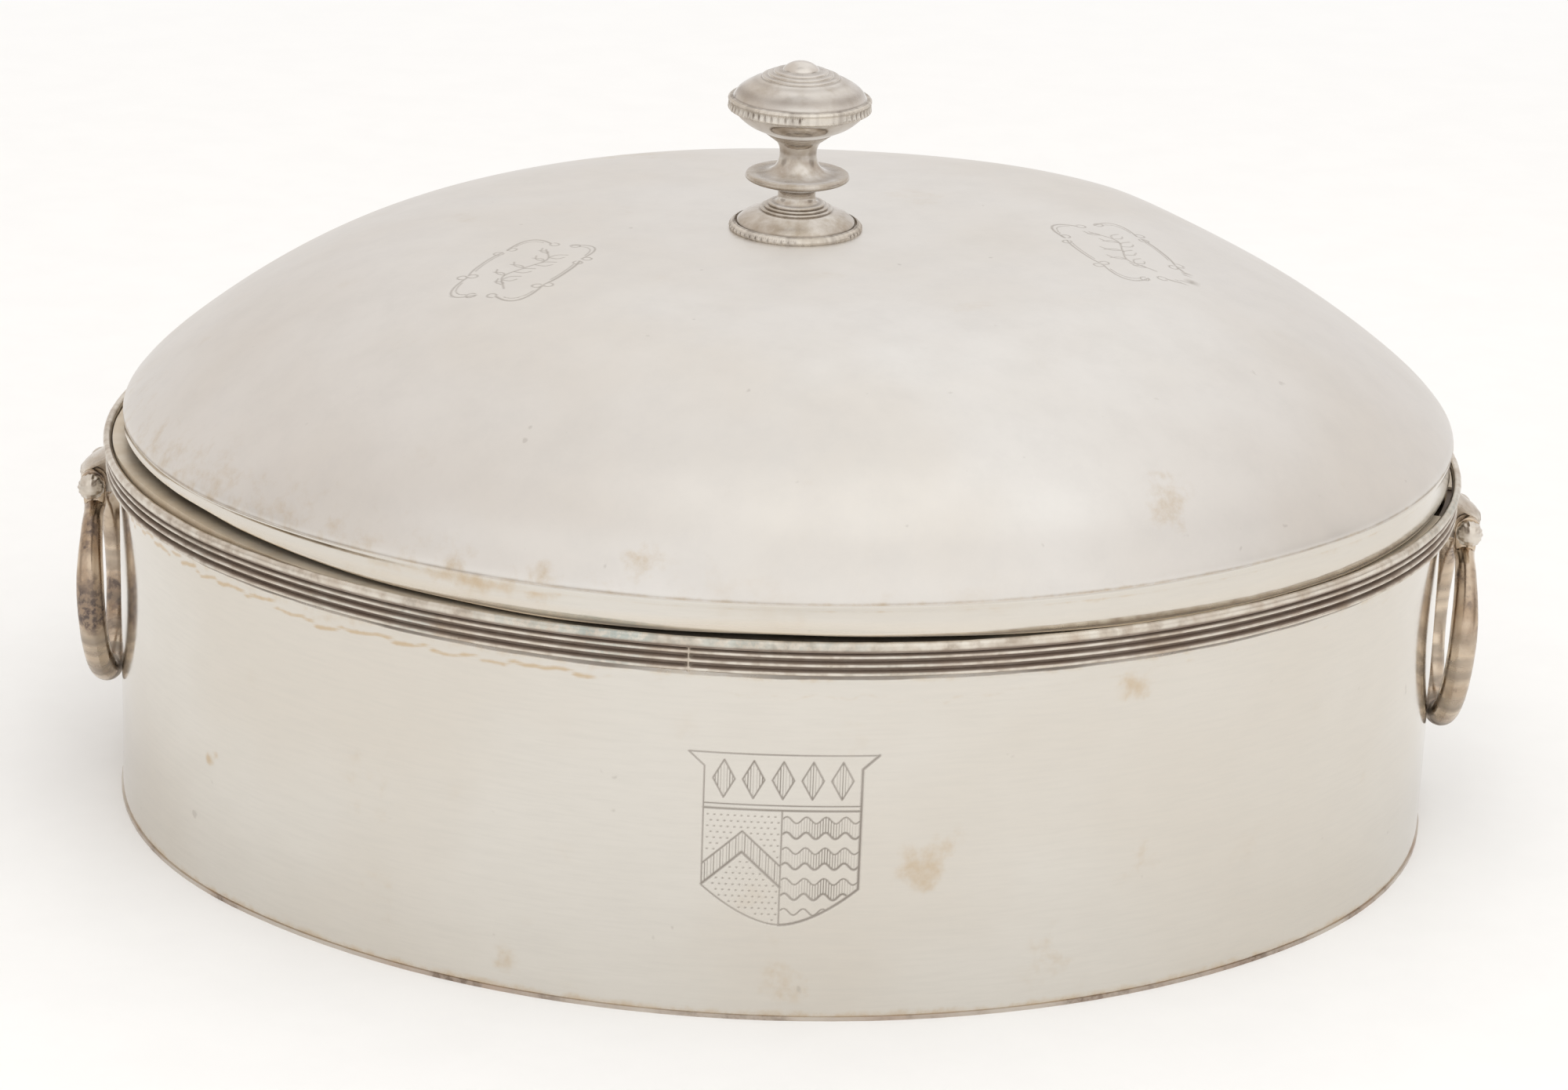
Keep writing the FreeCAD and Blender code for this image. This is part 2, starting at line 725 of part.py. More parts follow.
def make_ring(side, turned):
    """The drop ring: a round rod bent to a ring, its ends flattened into two eyes.
    The pin's axis is the origin here, and the ring lies in the YZ plane below it."""
    ring = new_body(f"drop_ring_{side}")
    drop = size("ring_radius") + size("ring_neck")
    rod = size("rod_radius")
    reach = drop + size("ring_radius")
    section = new_sketch(ring, "rod_section", "XZ_Plane")
    points = []
    for flat in range(ROD_FLATS):
        angle = 2 * math.pi * (flat + 0.5) / ROD_FLATS
        points.append((rod * math.cos(angle), rod * math.sin(angle) - reach))
    add_outline(section, points)
    axis = section.addGeometry(
        Part.LineSegment(V(-rod.value, -drop.value, 0), V(rod.value, -drop.value, 0)), True
    )
    pin_point(section, axis, 1, -rod, -drop)
    pin_point(section, axis, 2, rod, -drop)
    hoop = ring.newObject("PartDesign::Revolution", "hoop")
    hoop.Profile = section
    hoop.ReferenceAxis = (section, ["Axis0"])
    hoop.Midplane = True
    hoop.Angle = 360 - SIZES["ring_mouth_turn"]
    thick = size("eye_thick")
    near = size("web_half") + size("eye_gap")
    neck = size("eye_neck_half")
    neck_foot = size("ring_radius") - drop - rod / 2
    for end, level in (("front", near), ("back", -near - thick)):
        eye = new_sketch(ring, f"eye_{end}_outline", "XZ_Plane", level)
        circle = eye.addGeometry(Part.Circle(V(0, 0, 0), V(0, 0, 1), size("eye_radius").value), False)
        eye.addConstraint(Sketcher.Constraint("Coincident", circle, 3, -1, 1))
        bind(eye, Sketcher.Constraint("Radius", circle, size("eye_radius").value), size("eye_radius"))
        pad(ring, f"eye_{end}", eye, thick)
        tab = new_sketch(ring, f"neck_{end}_outline", "XZ_Plane", level)
        add_outline(tab, [(-neck, neck_foot), (neck, neck_foot), (neck, ZERO), (-neck, ZERO)])
        pad(ring, f"neck_{end}", tab, thick)
    bore = new_sketch(ring, "bore_outline", "XZ_Plane")
    radius = size("pin_radius") + size("ring_play")
    circle = bore.addGeometry(Part.Circle(V(0, 0, 0), V(0, 0, 1), radius.value), False)
    bore.addConstraint(Sketcher.Constraint("Coincident", circle, 3, -1, 1))
    bind(bore, Sketcher.Constraint("Radius", circle, radius.value), radius)
    pocket_through(ring, "pin_bore", bore)
    # it hangs with its foot leaning against the tub
    out = SIZES["pin_out"]
    lean = math.degrees(math.asin((out - SIZES["rod_radius"] - SIZES["ring_rest_gap"]) / reach.value))
    place = FreeCAD.Placement(V(SIZES["half_long"] + out, 0, SIZES["pin_level"]), FreeCAD.Rotation(V(0, 1, 0), lean))
    ring.Placement = FreeCAD.Placement(V(0, 0, 0), FreeCAD.Rotation(V(0, 0, 1), turned)).multiply(place)


def write_parts():
    """Check every object, then write each sub-part to its own file."""
    doc.recompute()
    for item in doc.Objects:
        if "Invalid" in item.State or "Error" in item.State:
            raise RuntimeError(f"{item.Name} failed: {item.State}")
    os.makedirs("parts", exist_ok=True)
    for part in PARTS:
        shape = part.Shape
        if shape.isNull() or not shape.isValid():
            raise RuntimeError(f"{part.Label} has no valid shape")
        box = shape.BoundBox
        print(
            part.Label, "solids", len(shape.Solids), "volume", round(shape.Volume, 1),
            "z", round(box.ZMin, 2), round(box.ZMax, 2), "x", round(box.XMin, 2), round(box.XMax, 2),
        )
        shape.exportStep(f"parts/{part.Label}.step")


make_tub()
make_pan()
make_cover()
make_knob()
make_pins()
for handle_side, handle_turn in (("right", 0.0), ("left", 180.0)):
    make_lug(handle_side, handle_turn)
    make_ring(handle_side, handle_turn)
write_parts()
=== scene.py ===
import math

import bpy
import numpy as np
from mathutils import Matrix, Vector


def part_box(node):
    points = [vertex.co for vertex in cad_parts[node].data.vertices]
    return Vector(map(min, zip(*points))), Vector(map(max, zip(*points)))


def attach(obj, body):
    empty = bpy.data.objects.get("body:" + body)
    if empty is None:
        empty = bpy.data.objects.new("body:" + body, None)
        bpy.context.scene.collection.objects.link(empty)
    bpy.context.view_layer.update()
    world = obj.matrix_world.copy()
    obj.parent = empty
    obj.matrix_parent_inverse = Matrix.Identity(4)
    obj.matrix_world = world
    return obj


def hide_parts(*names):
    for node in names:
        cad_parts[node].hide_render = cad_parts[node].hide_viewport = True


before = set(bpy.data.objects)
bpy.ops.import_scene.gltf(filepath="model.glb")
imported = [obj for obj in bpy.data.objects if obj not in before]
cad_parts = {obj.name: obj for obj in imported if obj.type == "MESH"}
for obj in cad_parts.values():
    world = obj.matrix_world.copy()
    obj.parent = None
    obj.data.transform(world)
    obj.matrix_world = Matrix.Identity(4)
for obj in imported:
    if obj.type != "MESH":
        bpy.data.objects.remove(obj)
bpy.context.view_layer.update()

# Oval warming dish. Lengths are in millimetres here and become metres when a mesh is made.
# +Z up, +X along the length, the engraved front at -Y.
MM = 0.001


def box_mm(node):
    """Lowest and highest corner of a node of the frame, in millimetres."""
    low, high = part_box(node)
    return np.array(low) / MM, np.array(high) / MM


wall_low, wall_high = box_mm("tub_wall")
band_low, band_high = box_mm("reeded_band")
wire_low, wire_high = box_mm("rim_wire")
pan_low, pan_high = box_mm("food_pan")
dome_low, dome_high = box_mm("cover_dome")
HALF_LONG, HALF_SHORT = wall_high[0], wall_high[1]
SHIFT = (dome_low[0] + dome_high[0]) / 2
CREASE, CROWN = dome_low[2], dome_high[2]
FLANGE_TOP = pan_high[2]
# The plan is an oval of four arcs. Of half its length less half its width, END_FALL is the share
# that the end arcs' radius falls short of half its width, and SIDE_DROP the share that the side
# arcs' centres lie beyond its long axis.
END_FALL = 0.6845
SIDE_DROP = (1 + 2 * END_FALL) / (2 * END_FALL)
END_RADIUS = HALF_SHORT - END_FALL * (HALF_LONG - HALF_SHORT)


# Plans and profiles

def oval(turns, half_long, half_short, out=0.0):
    """Points of a four-centre oval where its outward normal points along the turns."""
    spread = half_long - half_short
    reach = (1 + END_FALL) * spread
    drop = SIDE_DROP * spread
    end_radius = half_short - END_FALL * spread + out
    side_radius = half_short + drop + out
    corner = math.atan2(SIDE_DROP, 1 + END_FALL)
    across, along = np.cos(turns), np.sin(turns)
    on_end = np.abs(across) > math.cos(corner)
    x = np.where(on_end, np.sign(across) * reach + end_radius * across, side_radius * across)
    y = np.where(on_end, end_radius * along, -np.sign(along) * drop + side_radius * along)
    return x, y


def plan(turns, out=0.0):
    """The tub's plan, offset outward."""
    return oval(turns, HALF_LONG, HALF_SHORT, out)


def turn_at(x):
    """Turn of the front wall's normal at a distance along the length."""
    return -math.acos(x / (HALF_SHORT + SIDE_DROP * (HALF_LONG - HALF_SHORT)))


def normals(turns):
    """Which way is out of the plan at each turn, as one row of a grid."""
    return np.stack([np.cos(turns), np.sin(turns), np.zeros(len(turns))], -1)[None]


def steps(start, stop, windows, coarse):
    """Values from start to stop, at a coarse step and at a finer one inside the windows."""
    values = [start]
    while values[-1] < stop - 1e-9:
        here = values[-1]
        step = coarse
        for low, high, fine in windows:
            if low <= here < high:
                step = fine
            elif here < low < here + step:
                step = max(low - here, fine)
        values.append(min(here + step, stop))
    return np.array(values)


def round_turns(windows, coarse):
    """Turns once round, from the left end by the front, without the last."""
    return steps(-math.pi, math.pi, windows, coarse)[:-1]


def curve(points, count):
    """A smooth line through points, by their distances from each other."""
    points = np.array(points, float)
    gaps = np.sqrt(np.linalg.norm(np.diff(points, axis=0), axis=1))
    knots = np.concatenate([[0], np.cumsum(gaps)])
    slopes = np.gradient(points, knots, axis=0)
    at = np.linspace(0, knots[-1], count)
    cell = np.clip(np.searchsorted(knots, at, "right") - 1, 0, len(knots) - 2)
    width = knots[cell + 1] - knots[cell]
    share = ((at - knots[cell]) / width)[:, None]
    width = width[:, None]
    cubic = share ** 3
    square = share ** 2
    return (
        (2 * cubic - 3 * square + 1) * points[cell]
        + (cubic - 2 * square + share) * width * slopes[cell]
        + (3 * square - 2 * cubic) * points[cell + 1]
        + (cubic - square) * width * slopes[cell + 1]
    )


def soften(points, radius):
    """A polyline whose sharp corners are rounded off; its two ends stay."""
    points = [np.array(point, float) for point in points]
    eased = [points[0]]
    for before, here, after in zip(points, points[1:], points[2:]):
        into = here - before
        away = after - here
        reach = min(radius, np.linalg.norm(into) * 0.45, np.linalg.norm(away) * 0.45)
        bend = np.dot(into, away) / (np.linalg.norm(into) * np.linalg.norm(away) + 1e-12)
        if bend > 0.94:
            eased.append(here)
            continue
        start = here - into / np.linalg.norm(into) * reach
        stop = here + away / np.linalg.norm(away) * reach
        for share in (0.0, 0.33, 0.67, 1.0):
            eased.append((1 - share) ** 2 * start + 2 * share * (1 - share) * here + share ** 2 * stop)
    eased.append(points[-1])
    return np.array(eased)


def soften_loop(points, radius):
    """The same for a closed outline."""
    middle = [(points[0][axis] + points[-1][axis]) / 2 for axis in (0, 1)]
    return soften([middle, *points, middle], radius)[:-1]


def wave(values, seed, count=5):
    """A smooth uneven wave between about -1 and 1, the same on every run."""
    random = np.random.default_rng(seed)
    total = np.zeros_like(values, float)
    for number in range(1, count + 1):
        speed = random.uniform(0.6, 1.7)
        start = random.uniform(0, 6.3)
        total += np.sin(values * speed * number + start) / number
    return total / 1.6


def unit(values):
    """The values, held between 0 and 1."""
    return np.clip(values, 0, 1)


def hump(distance, width):
    """1 at no distance, falling off smoothly over a width."""
    return np.exp(-(distance / width) ** 2)


# Meshes

def add_piece(name, parts, material, body, node, marks, sharp=38):
    """One object from one or more (points, faces) parts; it rides on a body. Marks give each
    point's value, and edges sharper than so many degrees stay sharp."""
    points = np.concatenate([part[0] for part in parts]) * MM
    faces = []
    start = 0
    for part_points, part_faces in parts:
        faces += [face + start for face in part_faces]
        start += len(part_points)
    mesh = bpy.data.meshes.new(name)
    sizes = np.concatenate([np.full(len(face), face.shape[1]) for face in faces])
    corners = np.concatenate([face.ravel() for face in faces])
    mesh.vertices.add(len(points))
    mesh.vertices.foreach_set("co", points.astype(np.float32).ravel())
    mesh.loops.add(len(corners))
    mesh.loops.foreach_set("vertex_index", corners.astype(np.int32))
    mesh.polygons.add(len(sizes))
    starts = np.concatenate([[0], np.cumsum(sizes)[:-1]])
    mesh.polygons.foreach_set("loop_start", starts.astype(np.int32))
    mesh.polygons.foreach_set("use_smooth", np.ones(len(sizes), bool))
    mesh.update(calc_edges=True)
    mesh.validate()
    for mark, values in marks.items():
        layer = mesh.attributes.new(mark, "FLOAT", "POINT")
        layer.data.foreach_set("value", np.asarray(values, np.float32).ravel())
    mesh.set_sharp_from_angle(angle=math.radians(sharp))
    piece = bpy.data.objects.new(name, mesh)
    bpy.context.scene.collection.objects.link(piece)
    mesh.materials.append(material)
    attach(piece, body)
    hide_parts(node)


def facing_out(points, faces):
    """A closed part with its faces turned outward, as the volume inside its quads tells."""
    corners = (points - points.mean(0))[faces[0][:, :3]]
    volume = np.einsum("ij,ij->i", corners[:, 0], np.cross(corners[:, 1], corners[:, 2])).sum()
    if volume < 0:
        faces = [face[:, ::-1] for face in faces]
    return points, faces


def ring_part(grid):
    """A closed tube from a grid of points whose rows and columns both run round."""
    rows, columns = grid.shape[:2]
    row, column = np.meshgrid(np.arange(rows), np.arange(columns), indexing="ij")
    here = row * columns + column
    right = row * columns + (column + 1) % columns
    above = (row + 1) % rows * columns + column
    across = (row + 1) % rows * columns + (column + 1) % columns
    quads = np.stack([here, right, across, above], -1).reshape(-1, 4)
    return facing_out(grid.reshape(-1, 3), [quads])


def capped_part(grid):
    """A closed skin from a grid whose columns run round; its first and last row close
    on a point each."""
    rows, columns = grid.shape[:2]
    inner = grid[1:-1].reshape(-1, 3)
    points = np.concatenate([inner, grid[0].mean(0)[None], grid[-1].mean(0)[None]])
    row, column = np.meshgrid(np.arange(rows - 3), np.arange(columns), indexing="ij")
    here = row * columns + column
    right = row * columns + (column + 1) % columns
    quads = np.stack([here, right, right + columns, here + columns], -1).reshape(-1, 4)
    ring = np.arange(columns)
    following = (ring + 1) % columns
    first = np.stack([following, ring, np.full(columns, len(inner))], -1)
    last_row = (rows - 3) * columns
    last = np.stack([ring + last_row, following + last_row, np.full(columns, len(inner) + 1)], -1)
    return facing_out(points, [quads, first, last])


def tube_part(grid):
    """A closed rod from a grid whose columns run round, each end closed on its middle."""
    return capped_part(np.concatenate([grid[:1], grid, grid[-1:]]))


def capped_marks(marks, first, last):
    """The marks of a capped part's grid, and those of the points it closes on."""
    return np.concatenate([marks[1:-1].ravel(), [first, last]])


def with_inside(marks, inner, inside):
    """The marks of a wall's outer grid, and one value for all of its inner grid."""
    return np.concatenate([marks, np.full(inner.shape[:2], inside)])


def all_rows(marks, rows):
    """One row of marks, the same for all rows."""
    return np.repeat(marks[None], len(rows), 0)


def sweep(outline, turns, shift=0.0):
    """A closed outline in (out, height) run round the tub's plan, as a grid."""
    outline = np.array(outline, float)
    x, y = plan(turns[None, :], outline[:, 0][:, None])
    z = np.repeat(outline[:, 1][:, None], len(turns), 1)
    return np.stack([x + shift, y, z], -1)


def lathe(profile, count, base):
    """A profile in (radius, height) turned about the vertical at base, as a grid."""
    profile = np.array([tuple(point) for point in profile], float)
    turns = np.arange(count) * 2 * math.pi / count
    radius, height = profile[:, 0][:, None], profile[:, 1][:, None]
    return np.stack([
        base[0] + radius * np.cos(turns), base[1] + radius * np.sin(turns), base[2] + height + 0 * turns,
    ], -1)


# Engraving

def engrave(across, up, strokes):
    """How deep each point lies in the strokes, 0 to 1. A stroke is (points, half width)."""
    ink = np.zeros(across.shape)
    flat_across, flat_up, flat_ink = across.ravel(), up.ravel(), ink.ravel()
    for points, half_width in strokes:
        points = np.array(points, float)
        soft = half_width * 0.9
        for start, stop in zip(points, points[1:]):
            low = np.minimum(start, stop) - half_width - soft
            high = np.maximum(start, stop) + half_width + soft
            near = np.nonzero(
                (flat_across > low[0]) & (flat_across < high[0]) & (flat_up > low[1]) & (flat_up < high[1])
            )[0]
            if not len(near):
                continue
            way = stop - start
            length = max(way @ way, 1e-9)
            offset = np.stack([flat_across[near] - start[0], flat_up[near] - start[1]], -1)
            share = np.clip(offset @ way / length, 0, 1)[:, None]
            distance = np.linalg.norm(offset - share * way, axis=1)
            depth = np.clip((half_width + soft - distance) / (2 * soft), 0, 1)
            flat_ink[near] = np.maximum(flat_ink[near], depth)
    return flat_ink.reshape(across.shape)


SHIELD_HALF = 24.5


def shield_foot(across):
    """Height of the shield's lower edge over its tip, at a distance from its middle."""
    return 12.5 * np.abs(across / SHIELD_HALF) ** 1.7


def shield_strokes():
    """A plain made-up shield: a top band of lozenges, a dotted quarter with a chevron,
    and a quarter of wavy bars. Origin at the middle of the tip."""
    half, ear, top, tier = SHIELD_HALF, 29.5, 57.5, 40.5
    bar_level = tier - 1.6
    edge = [(ear, top), (half, top - 4.6), (half, shield_foot(half))]
    edge += [(across, shield_foot(across)) for across in np.linspace(0, half, 12)[::-1]]
    strokes = [
        (edge, 0.36), ([(-across, up) for across, up in edge], 0.20), ([(-ear, top), (ear, top)], 0.20),
        ([(-half, tier), (half, tier)], 0.18), ([(-half, bar_level), (half, bar_level)], 0.30),
        ([(0, bar_level), (0, 0.4)], 0.20),
    ]
    # five hatched lozenges between the top line and the tier under it
    wide, low, high = 3.4, tier + 2.2, top - 2.2
    centre = (low + high) / 2
    for number in range(5):
        middle = -18.4 + 9.2 * number
        left, right = (middle - wide, centre), (middle + wide, centre)
        strokes.append(([(middle, high), right, (middle, low), left, (middle, high)], 0.22))
        for line in np.arange(-2.7, 2.8, 0.9):
            reach = (high - centre) * (1 - abs(line) / wide) - 0.3
            strokes.append(([(middle + line, centre - reach), (middle + line, centre + reach)], 0.09))
    # dots on the left, with a hatched chevron left free between them
    peak_at, peak = -12.2, 31.5
    for row in range(20):
        for column in range(12):
            across = -23.2 + 2.1 * column + (1.05 if row % 2 else 0)
            up = 1.6 + 1.95 * row
            rise = peak - abs(across - peak_at) * 0.95
            in_chevron = rise - 8.0 < up < rise + 1.2
            if across < -0.8 and shield_foot(across) + 1.2 < up < tier - 2.6 and not in_chevron:
                strokes.append(([(across, up), (across + 0.25, up)], 0.20))
    for drop, width in ((0.0, 0.26), (-7.0, 0.36)):
        strokes.append(([(-half, 19.9 + drop), (peak_at, peak + drop), (0, 19.9 + drop)], width))
    for across in np.arange(-23.6, -0.4, 0.95):
        rise = peak - abs(across - peak_at) * 0.945
        strokes.append(([(across, rise - 6.5), (across, rise - 0.5)], 0.09))
    # wavy bars on the right, every other one hatched upward
    for bar in range(7):
        level = 4.6 + 5.2 * bar
        across = np.linspace(0.4, 24.2, 44)
        up = level + 1.1 * np.sin(across * 1.03)
        kept = (up > shield_foot(across) + 0.3) & (up < tier - 2.0)
        line = np.stack([across, up], -1)[kept]
        if len(line) > 1:
            strokes.append((line, 0.30 if bar % 2 else 0.20))
        if bar % 2:
            for across in np.arange(0.9, 24.0, 0.85):
                foot = level + 1.1 * math.sin(across * 1.03)
                head = min(foot + 5.0, tier - 2.2)
                foot = max(foot, shield_foot(across) + 0.4)
                if head > foot + 0.5:
                    strokes.append(([(across, foot), (across, head)], 0.085))
    return strokes


def frame_strokes():
    """A made-up scrolled frame with a sprig inside, lying along its own length."""
    strokes = []
    for start, stop, bulge, width in (
        (8, 64, 1.10, 0.34), (70, 108, 0.92, 0.26), (114, 172, 1.10, 0.26),
        (188, 246, 1.10, 0.34), (252, 290, 0.92, 0.34), (296, 352, 1.10, 0.26),
    ):
        angles = np.radians(np.linspace(start, stop, 26))
        radius = 0.88 + (bulge - 0.88) * 0.8 * np.sin(np.linspace(0, math.pi, 26))
        across = np.sign(np.cos(angles)) * np.abs(np.cos(angles)) ** 0.72
        up = np.sign(np.sin(angles)) * np.abs(np.sin(angles)) ** 0.72
        line = np.stack([30.5 * radius * across, 17.0 * radius * up], -1)
        strokes.append((line, width))
        strokes.append((line[4:21] * 0.93, 0.16))
        for end, way in ((line[0], 1), (line[-1], -1)):
            step = np.arange(11)[:, None]
            turned = way * step * 0.5 + end[0]
            curl = np.hstack([np.cos(turned) - math.cos(end[0]), np.sin(turned) - math.sin(end[0])])
            strokes.append((end + (2.6 - 0.16 * step) * curl, 0.22))
    stem = curve([(-20, -3), (-10, 2.5), (0, -0.5), (10, -3.5), (20, 2)], 40)
    strokes.append((stem, 0.24))
    for number in range(3, 38, 4):
        root = stem[number]
        side = 1 if number % 8 < 4 else -1
        for turned in (-0.35, 0.35):
            tip = root + np.array([3.4 + turned * 4, side * (6.2 - abs(root[0]) * 0.12)])
            middle = (root + tip) / 2 + np.array([-side * turned * 3.2, turned * 3.0])
            strokes.append((curve([root, middle, tip], 8), 0.20))
    return strokes


# Materials

class Nodes:
    """The node tree of a material or of the world, emptied first."""

    def __init__(self, owner):
        owner.use_nodes = True
        self.tree = owner.node_tree
        self.tree.nodes.clear()

    def put(self, kind, inputs=None, **settings):
        """One node, with settings and with values or sockets for its inputs."""
        made = self.tree.nodes.new("ShaderNode" + kind)
        for name, value in settings.items():
            setattr(made, name, value)
        for key, value in (inputs or {}).items():
            if isinstance(value, bpy.types.NodeSocket):
                self.tree.links.new(value, made.inputs[key])
            else:
                made.inputs[key].default_value = value
        return made

    def noise(self, where, scale, detail, rough, stretch=(1, 1, 1)):
        """Cloudy noise, 0 to 1, made narrower along each axis by stretch."""
        if stretch != (1, 1, 1):
            where = self.put("Mapping", {"Vector": where, "Scale": stretch}).outputs["Vector"]
        return self.put("TexNoise", {
            "Vector": where, "Scale": scale, "Detail": detail, "Roughness": rough,
        }).outputs["Fac"]

    def band(self, value, low, high, bottom=0.0, top=1.0):
        """Spread a value's stretch from low to high over bottom to top, smoothly."""
        return self.put("MapRange", {
            "Value": value, "From Min": low, "From Max": high, "To Min": bottom, "To Max": top,
        }, interpolation_type="SMOOTHSTEP").outputs["Result"]

    def mark(self, name):
        """A mark that the mesh's points carry, 0 where they carry none."""
        return self.put("Attribute", attribute_name=name).outputs["Fac"]

    def math(self, kind, one, other=0.0):
        """One step of arithmetic on two values."""
        return self.put("Math", {0: one, 1: other}, operation=kind).outputs[0]

    def times(self, one, other):
        return self.math("MULTIPLY", one, other)

    def plus(self, one, other):
        return self.math("ADD", one, other)

    def minus(self, one, other):
        return self.math("SUBTRACT", one, other)

    def blend(self, share, one, other):
        """One tone, or at a share of 1 the other."""
        one, other = (
            tone if isinstance(tone, bpy.types.NodeSocket) else (*tone, 1.0) for tone in (one, other)
        )
        return self.put("Mix", {0: share, 6: one, 7: other}, data_type="RGBA").outputs[2]


VERDIGRIS = (0.36, 0.45, 0.44)
DRIED_POLISH = (0.76, 0.65, 0.50)


def metal(name, pale, warm, stain, rough, tarnish=0.0, tarnish_tone=(0.16, 0.12, 0.09), pits=0.35,
          brushed=(1, 1, 1), ink_tone=(0.20, 0.165, 0.135), grain=0.015, patches=9.0):
    """Worn metal: two tones that drift over it, stains, pits and fine scratches, patches of
    tarnish, the marks of its points, and roughness and bump that follow them."""
    material = bpy.data.materials.new(name)
    nodes = Nodes(material)
    where = nodes.put("TexCoord").outputs["Object"]
    drift = nodes.noise(where, patches, 3.0, 0.5)
    cloud = nodes.noise(where, 34.0, 5.0, 0.62)
    fine = nodes.noise(where, 420.0, 4.0, 0.6)
    scratch = nodes.noise(where, 60.0, 6.0, 0.72, brushed)
    spots = nodes.noise(where, 155.0, 2.0, 0.5)
    colour = nodes.blend(nodes.band(drift, 0.35, 0.68), pale, warm)
    rubbed = tuple(0.82 * tone for tone in pale)
    colour = nodes.blend(nodes.band(scratch, 0.35, 0.75, 0.0, 0.24), colour, rubbed)
    # a stain's edge is as ragged as dried water, with a lighter wash inside it
    stain_mark = nodes.mark("stain")
    ragged = nodes.minus(nodes.noise(where, 150.0, 4.0, 0.65), 0.5)
    spread = nodes.plus(stain_mark, nodes.times(ragged, 1.1))
    stained = nodes.times(nodes.band(spread, 0.18, 0.85), nodes.band(stain_mark, 0.02, 0.30))
    stained = nodes.times(stained, 0.8)
    colour = nodes.blend(stained, colour, stain)
    blotch_tone = tuple((one + other) / 2 for one, other in zip(stain, warm))
    colour = nodes.blend(nodes.band(cloud, 0.62, 0.80, 0.0, 0.35), colour, blotch_tone)
    pit = nodes.band(spots, 0.74, 0.80, 0.0, pits)
    colour = nodes.blend(pit, colour, tarnish_tone)
    patch = nodes.times(nodes.band(drift, 0.42, 0.60), nodes.band(cloud, 0.40, 0.60))
    speckle = nodes.plus(nodes.times(nodes.band(fine, 0.42, 0.60), 0.6), 0.4)
    patch = nodes.times(nodes.times(patch, speckle), tarnish)
    colour = nodes.blend(patch, colour, tarnish_tone)
    greened = nodes.times(nodes.mark("green"), nodes.band(fine, 0.35, 0.60, 0.1, 0.8))
    colour = nodes.blend(greened, colour, VERDIGRIS)
    filmed = nodes.times(nodes.mark("film"), nodes.band(cloud, 0.25, 0.70, 0.7, 1.0))
    colour = nodes.blend(filmed, colour, DRIED_POLISH)
    inked = nodes.times(nodes.mark("ink"), nodes.band(cloud, 0.25, 0.70, 1.0, 0.78))
    colour = nodes.blend(inked, colour, ink_tone)
    shine = nodes.band(cloud, 0.25, 0.75, rough - 0.05, rough + 0.07)
    for worn, rougher in ((stained, 0.12), (inked, 0.25), (patch, 0.25)):
        shine = nodes.plus(shine, nodes.times(worn, rougher))
    height = nodes.plus(nodes.times(scratch, 0.5), nodes.times(fine, 0.25))
    bump = nodes.put("Bump", {
        "Height": nodes.minus(height, pit), "Strength": grain, "Distance": 0.0006,
    })
    # tarnish and film scatter light, where bare metal only reflects it
    covered = nodes.times(nodes.math("MAXIMUM", inked, filmed), 0.8)
    shader = nodes.put("BsdfPrincipled", {
        "Base Color": colour, "Roughness": shine, "Normal": bump.outputs["Normal"],
        "Metallic": nodes.minus(1.0, covered),
    })
    nodes.put("OutputMaterial", {"Surface": shader.outputs["BSDF"]})
    return material


ALONG_THE_WALL = (1, 1, 14)
silver_wall = metal(
    "silver_wall", (0.700, 0.672, 0.622), (0.672, 0.632, 0.570), (0.56, 0.43, 0.28), 0.10,
    brushed=ALONG_THE_WALL, pits=0.2, ink_tone=(0.17, 0.14, 0.115))
silver_dome = metal(
    "silver_dome", (0.780, 0.757, 0.728), (0.745, 0.710, 0.665), (0.58, 0.46, 0.31), 0.42, pits=0.2)
silver_inside = metal(
    "silver_inside", (0.70, 0.68, 0.63), (0.62, 0.58, 0.50), (0.42, 0.32, 0.20), 0.36,
    pits=0.5, ink_tone=(0.13, 0.095, 0.065))
silver_knob = metal(
    "silver_knob", (0.71, 0.67, 0.625), (0.60, 0.54, 0.47), (0.34, 0.27, 0.19), 0.10,
    pits=0.6, ink_tone=(0.16, 0.12, 0.09), grain=0.05, patches=30.0)
silver_dark = metal(
    "silver_dark", (0.74, 0.69, 0.62), (0.64, 0.57, 0.48), (0.42, 0.33, 0.24), 0.24,
    tarnish=0.3, pits=0.9, ink_tone=(0.12, 0.085, 0.062), grain=0.2, patches=60.0)
silver_reeds = metal(
    "silver_reeds", (0.74, 0.69, 0.61), (0.66, 0.59, 0.50), (0.45, 0.35, 0.26), 0.27,
    tarnish=0.4, tarnish_tone=(0.30, 0.24, 0.19), pits=0.9, ink_tone=(0.200, 0.143, 0.108),
    grain=0.2, patches=170.0)
ring_metal = metal(
    "ring_metal", (0.66, 0.55, 0.43), (0.50, 0.36, 0.24), (0.30, 0.21, 0.14), 0.18,
    tarnish=1.0, tarnish_tone=(0.140, 0.110, 0.104), pits=0.9, grain=0.2, patches=52.0)
copper_base = metal(
    "copper_base", (0.62, 0.57, 0.51), (0.50, 0.40, 0.33), (0.30, 0.20, 0.14), 0.34,
    tarnish=0.7, pits=0.8, grain=0.15, patches=24.0)
brass_fastener = metal(
    "brass_fastener", (0.62, 0.50, 0.30), (0.55, 0.42, 0.24), (0.30, 0.22, 0.12), 0.33,
    tarnish=0.3, pits=0.6, grain=0.15)

for cad_node, material in (
    ("base_plate", copper_base), ("knob_stud", brass_fastener),
    ("knob_washer", brass_fastener), ("knob_nut", brass_fastener),
):
    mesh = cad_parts[cad_node].data
    mesh.materials.clear()
    mesh.materials.append(material)


# The tub

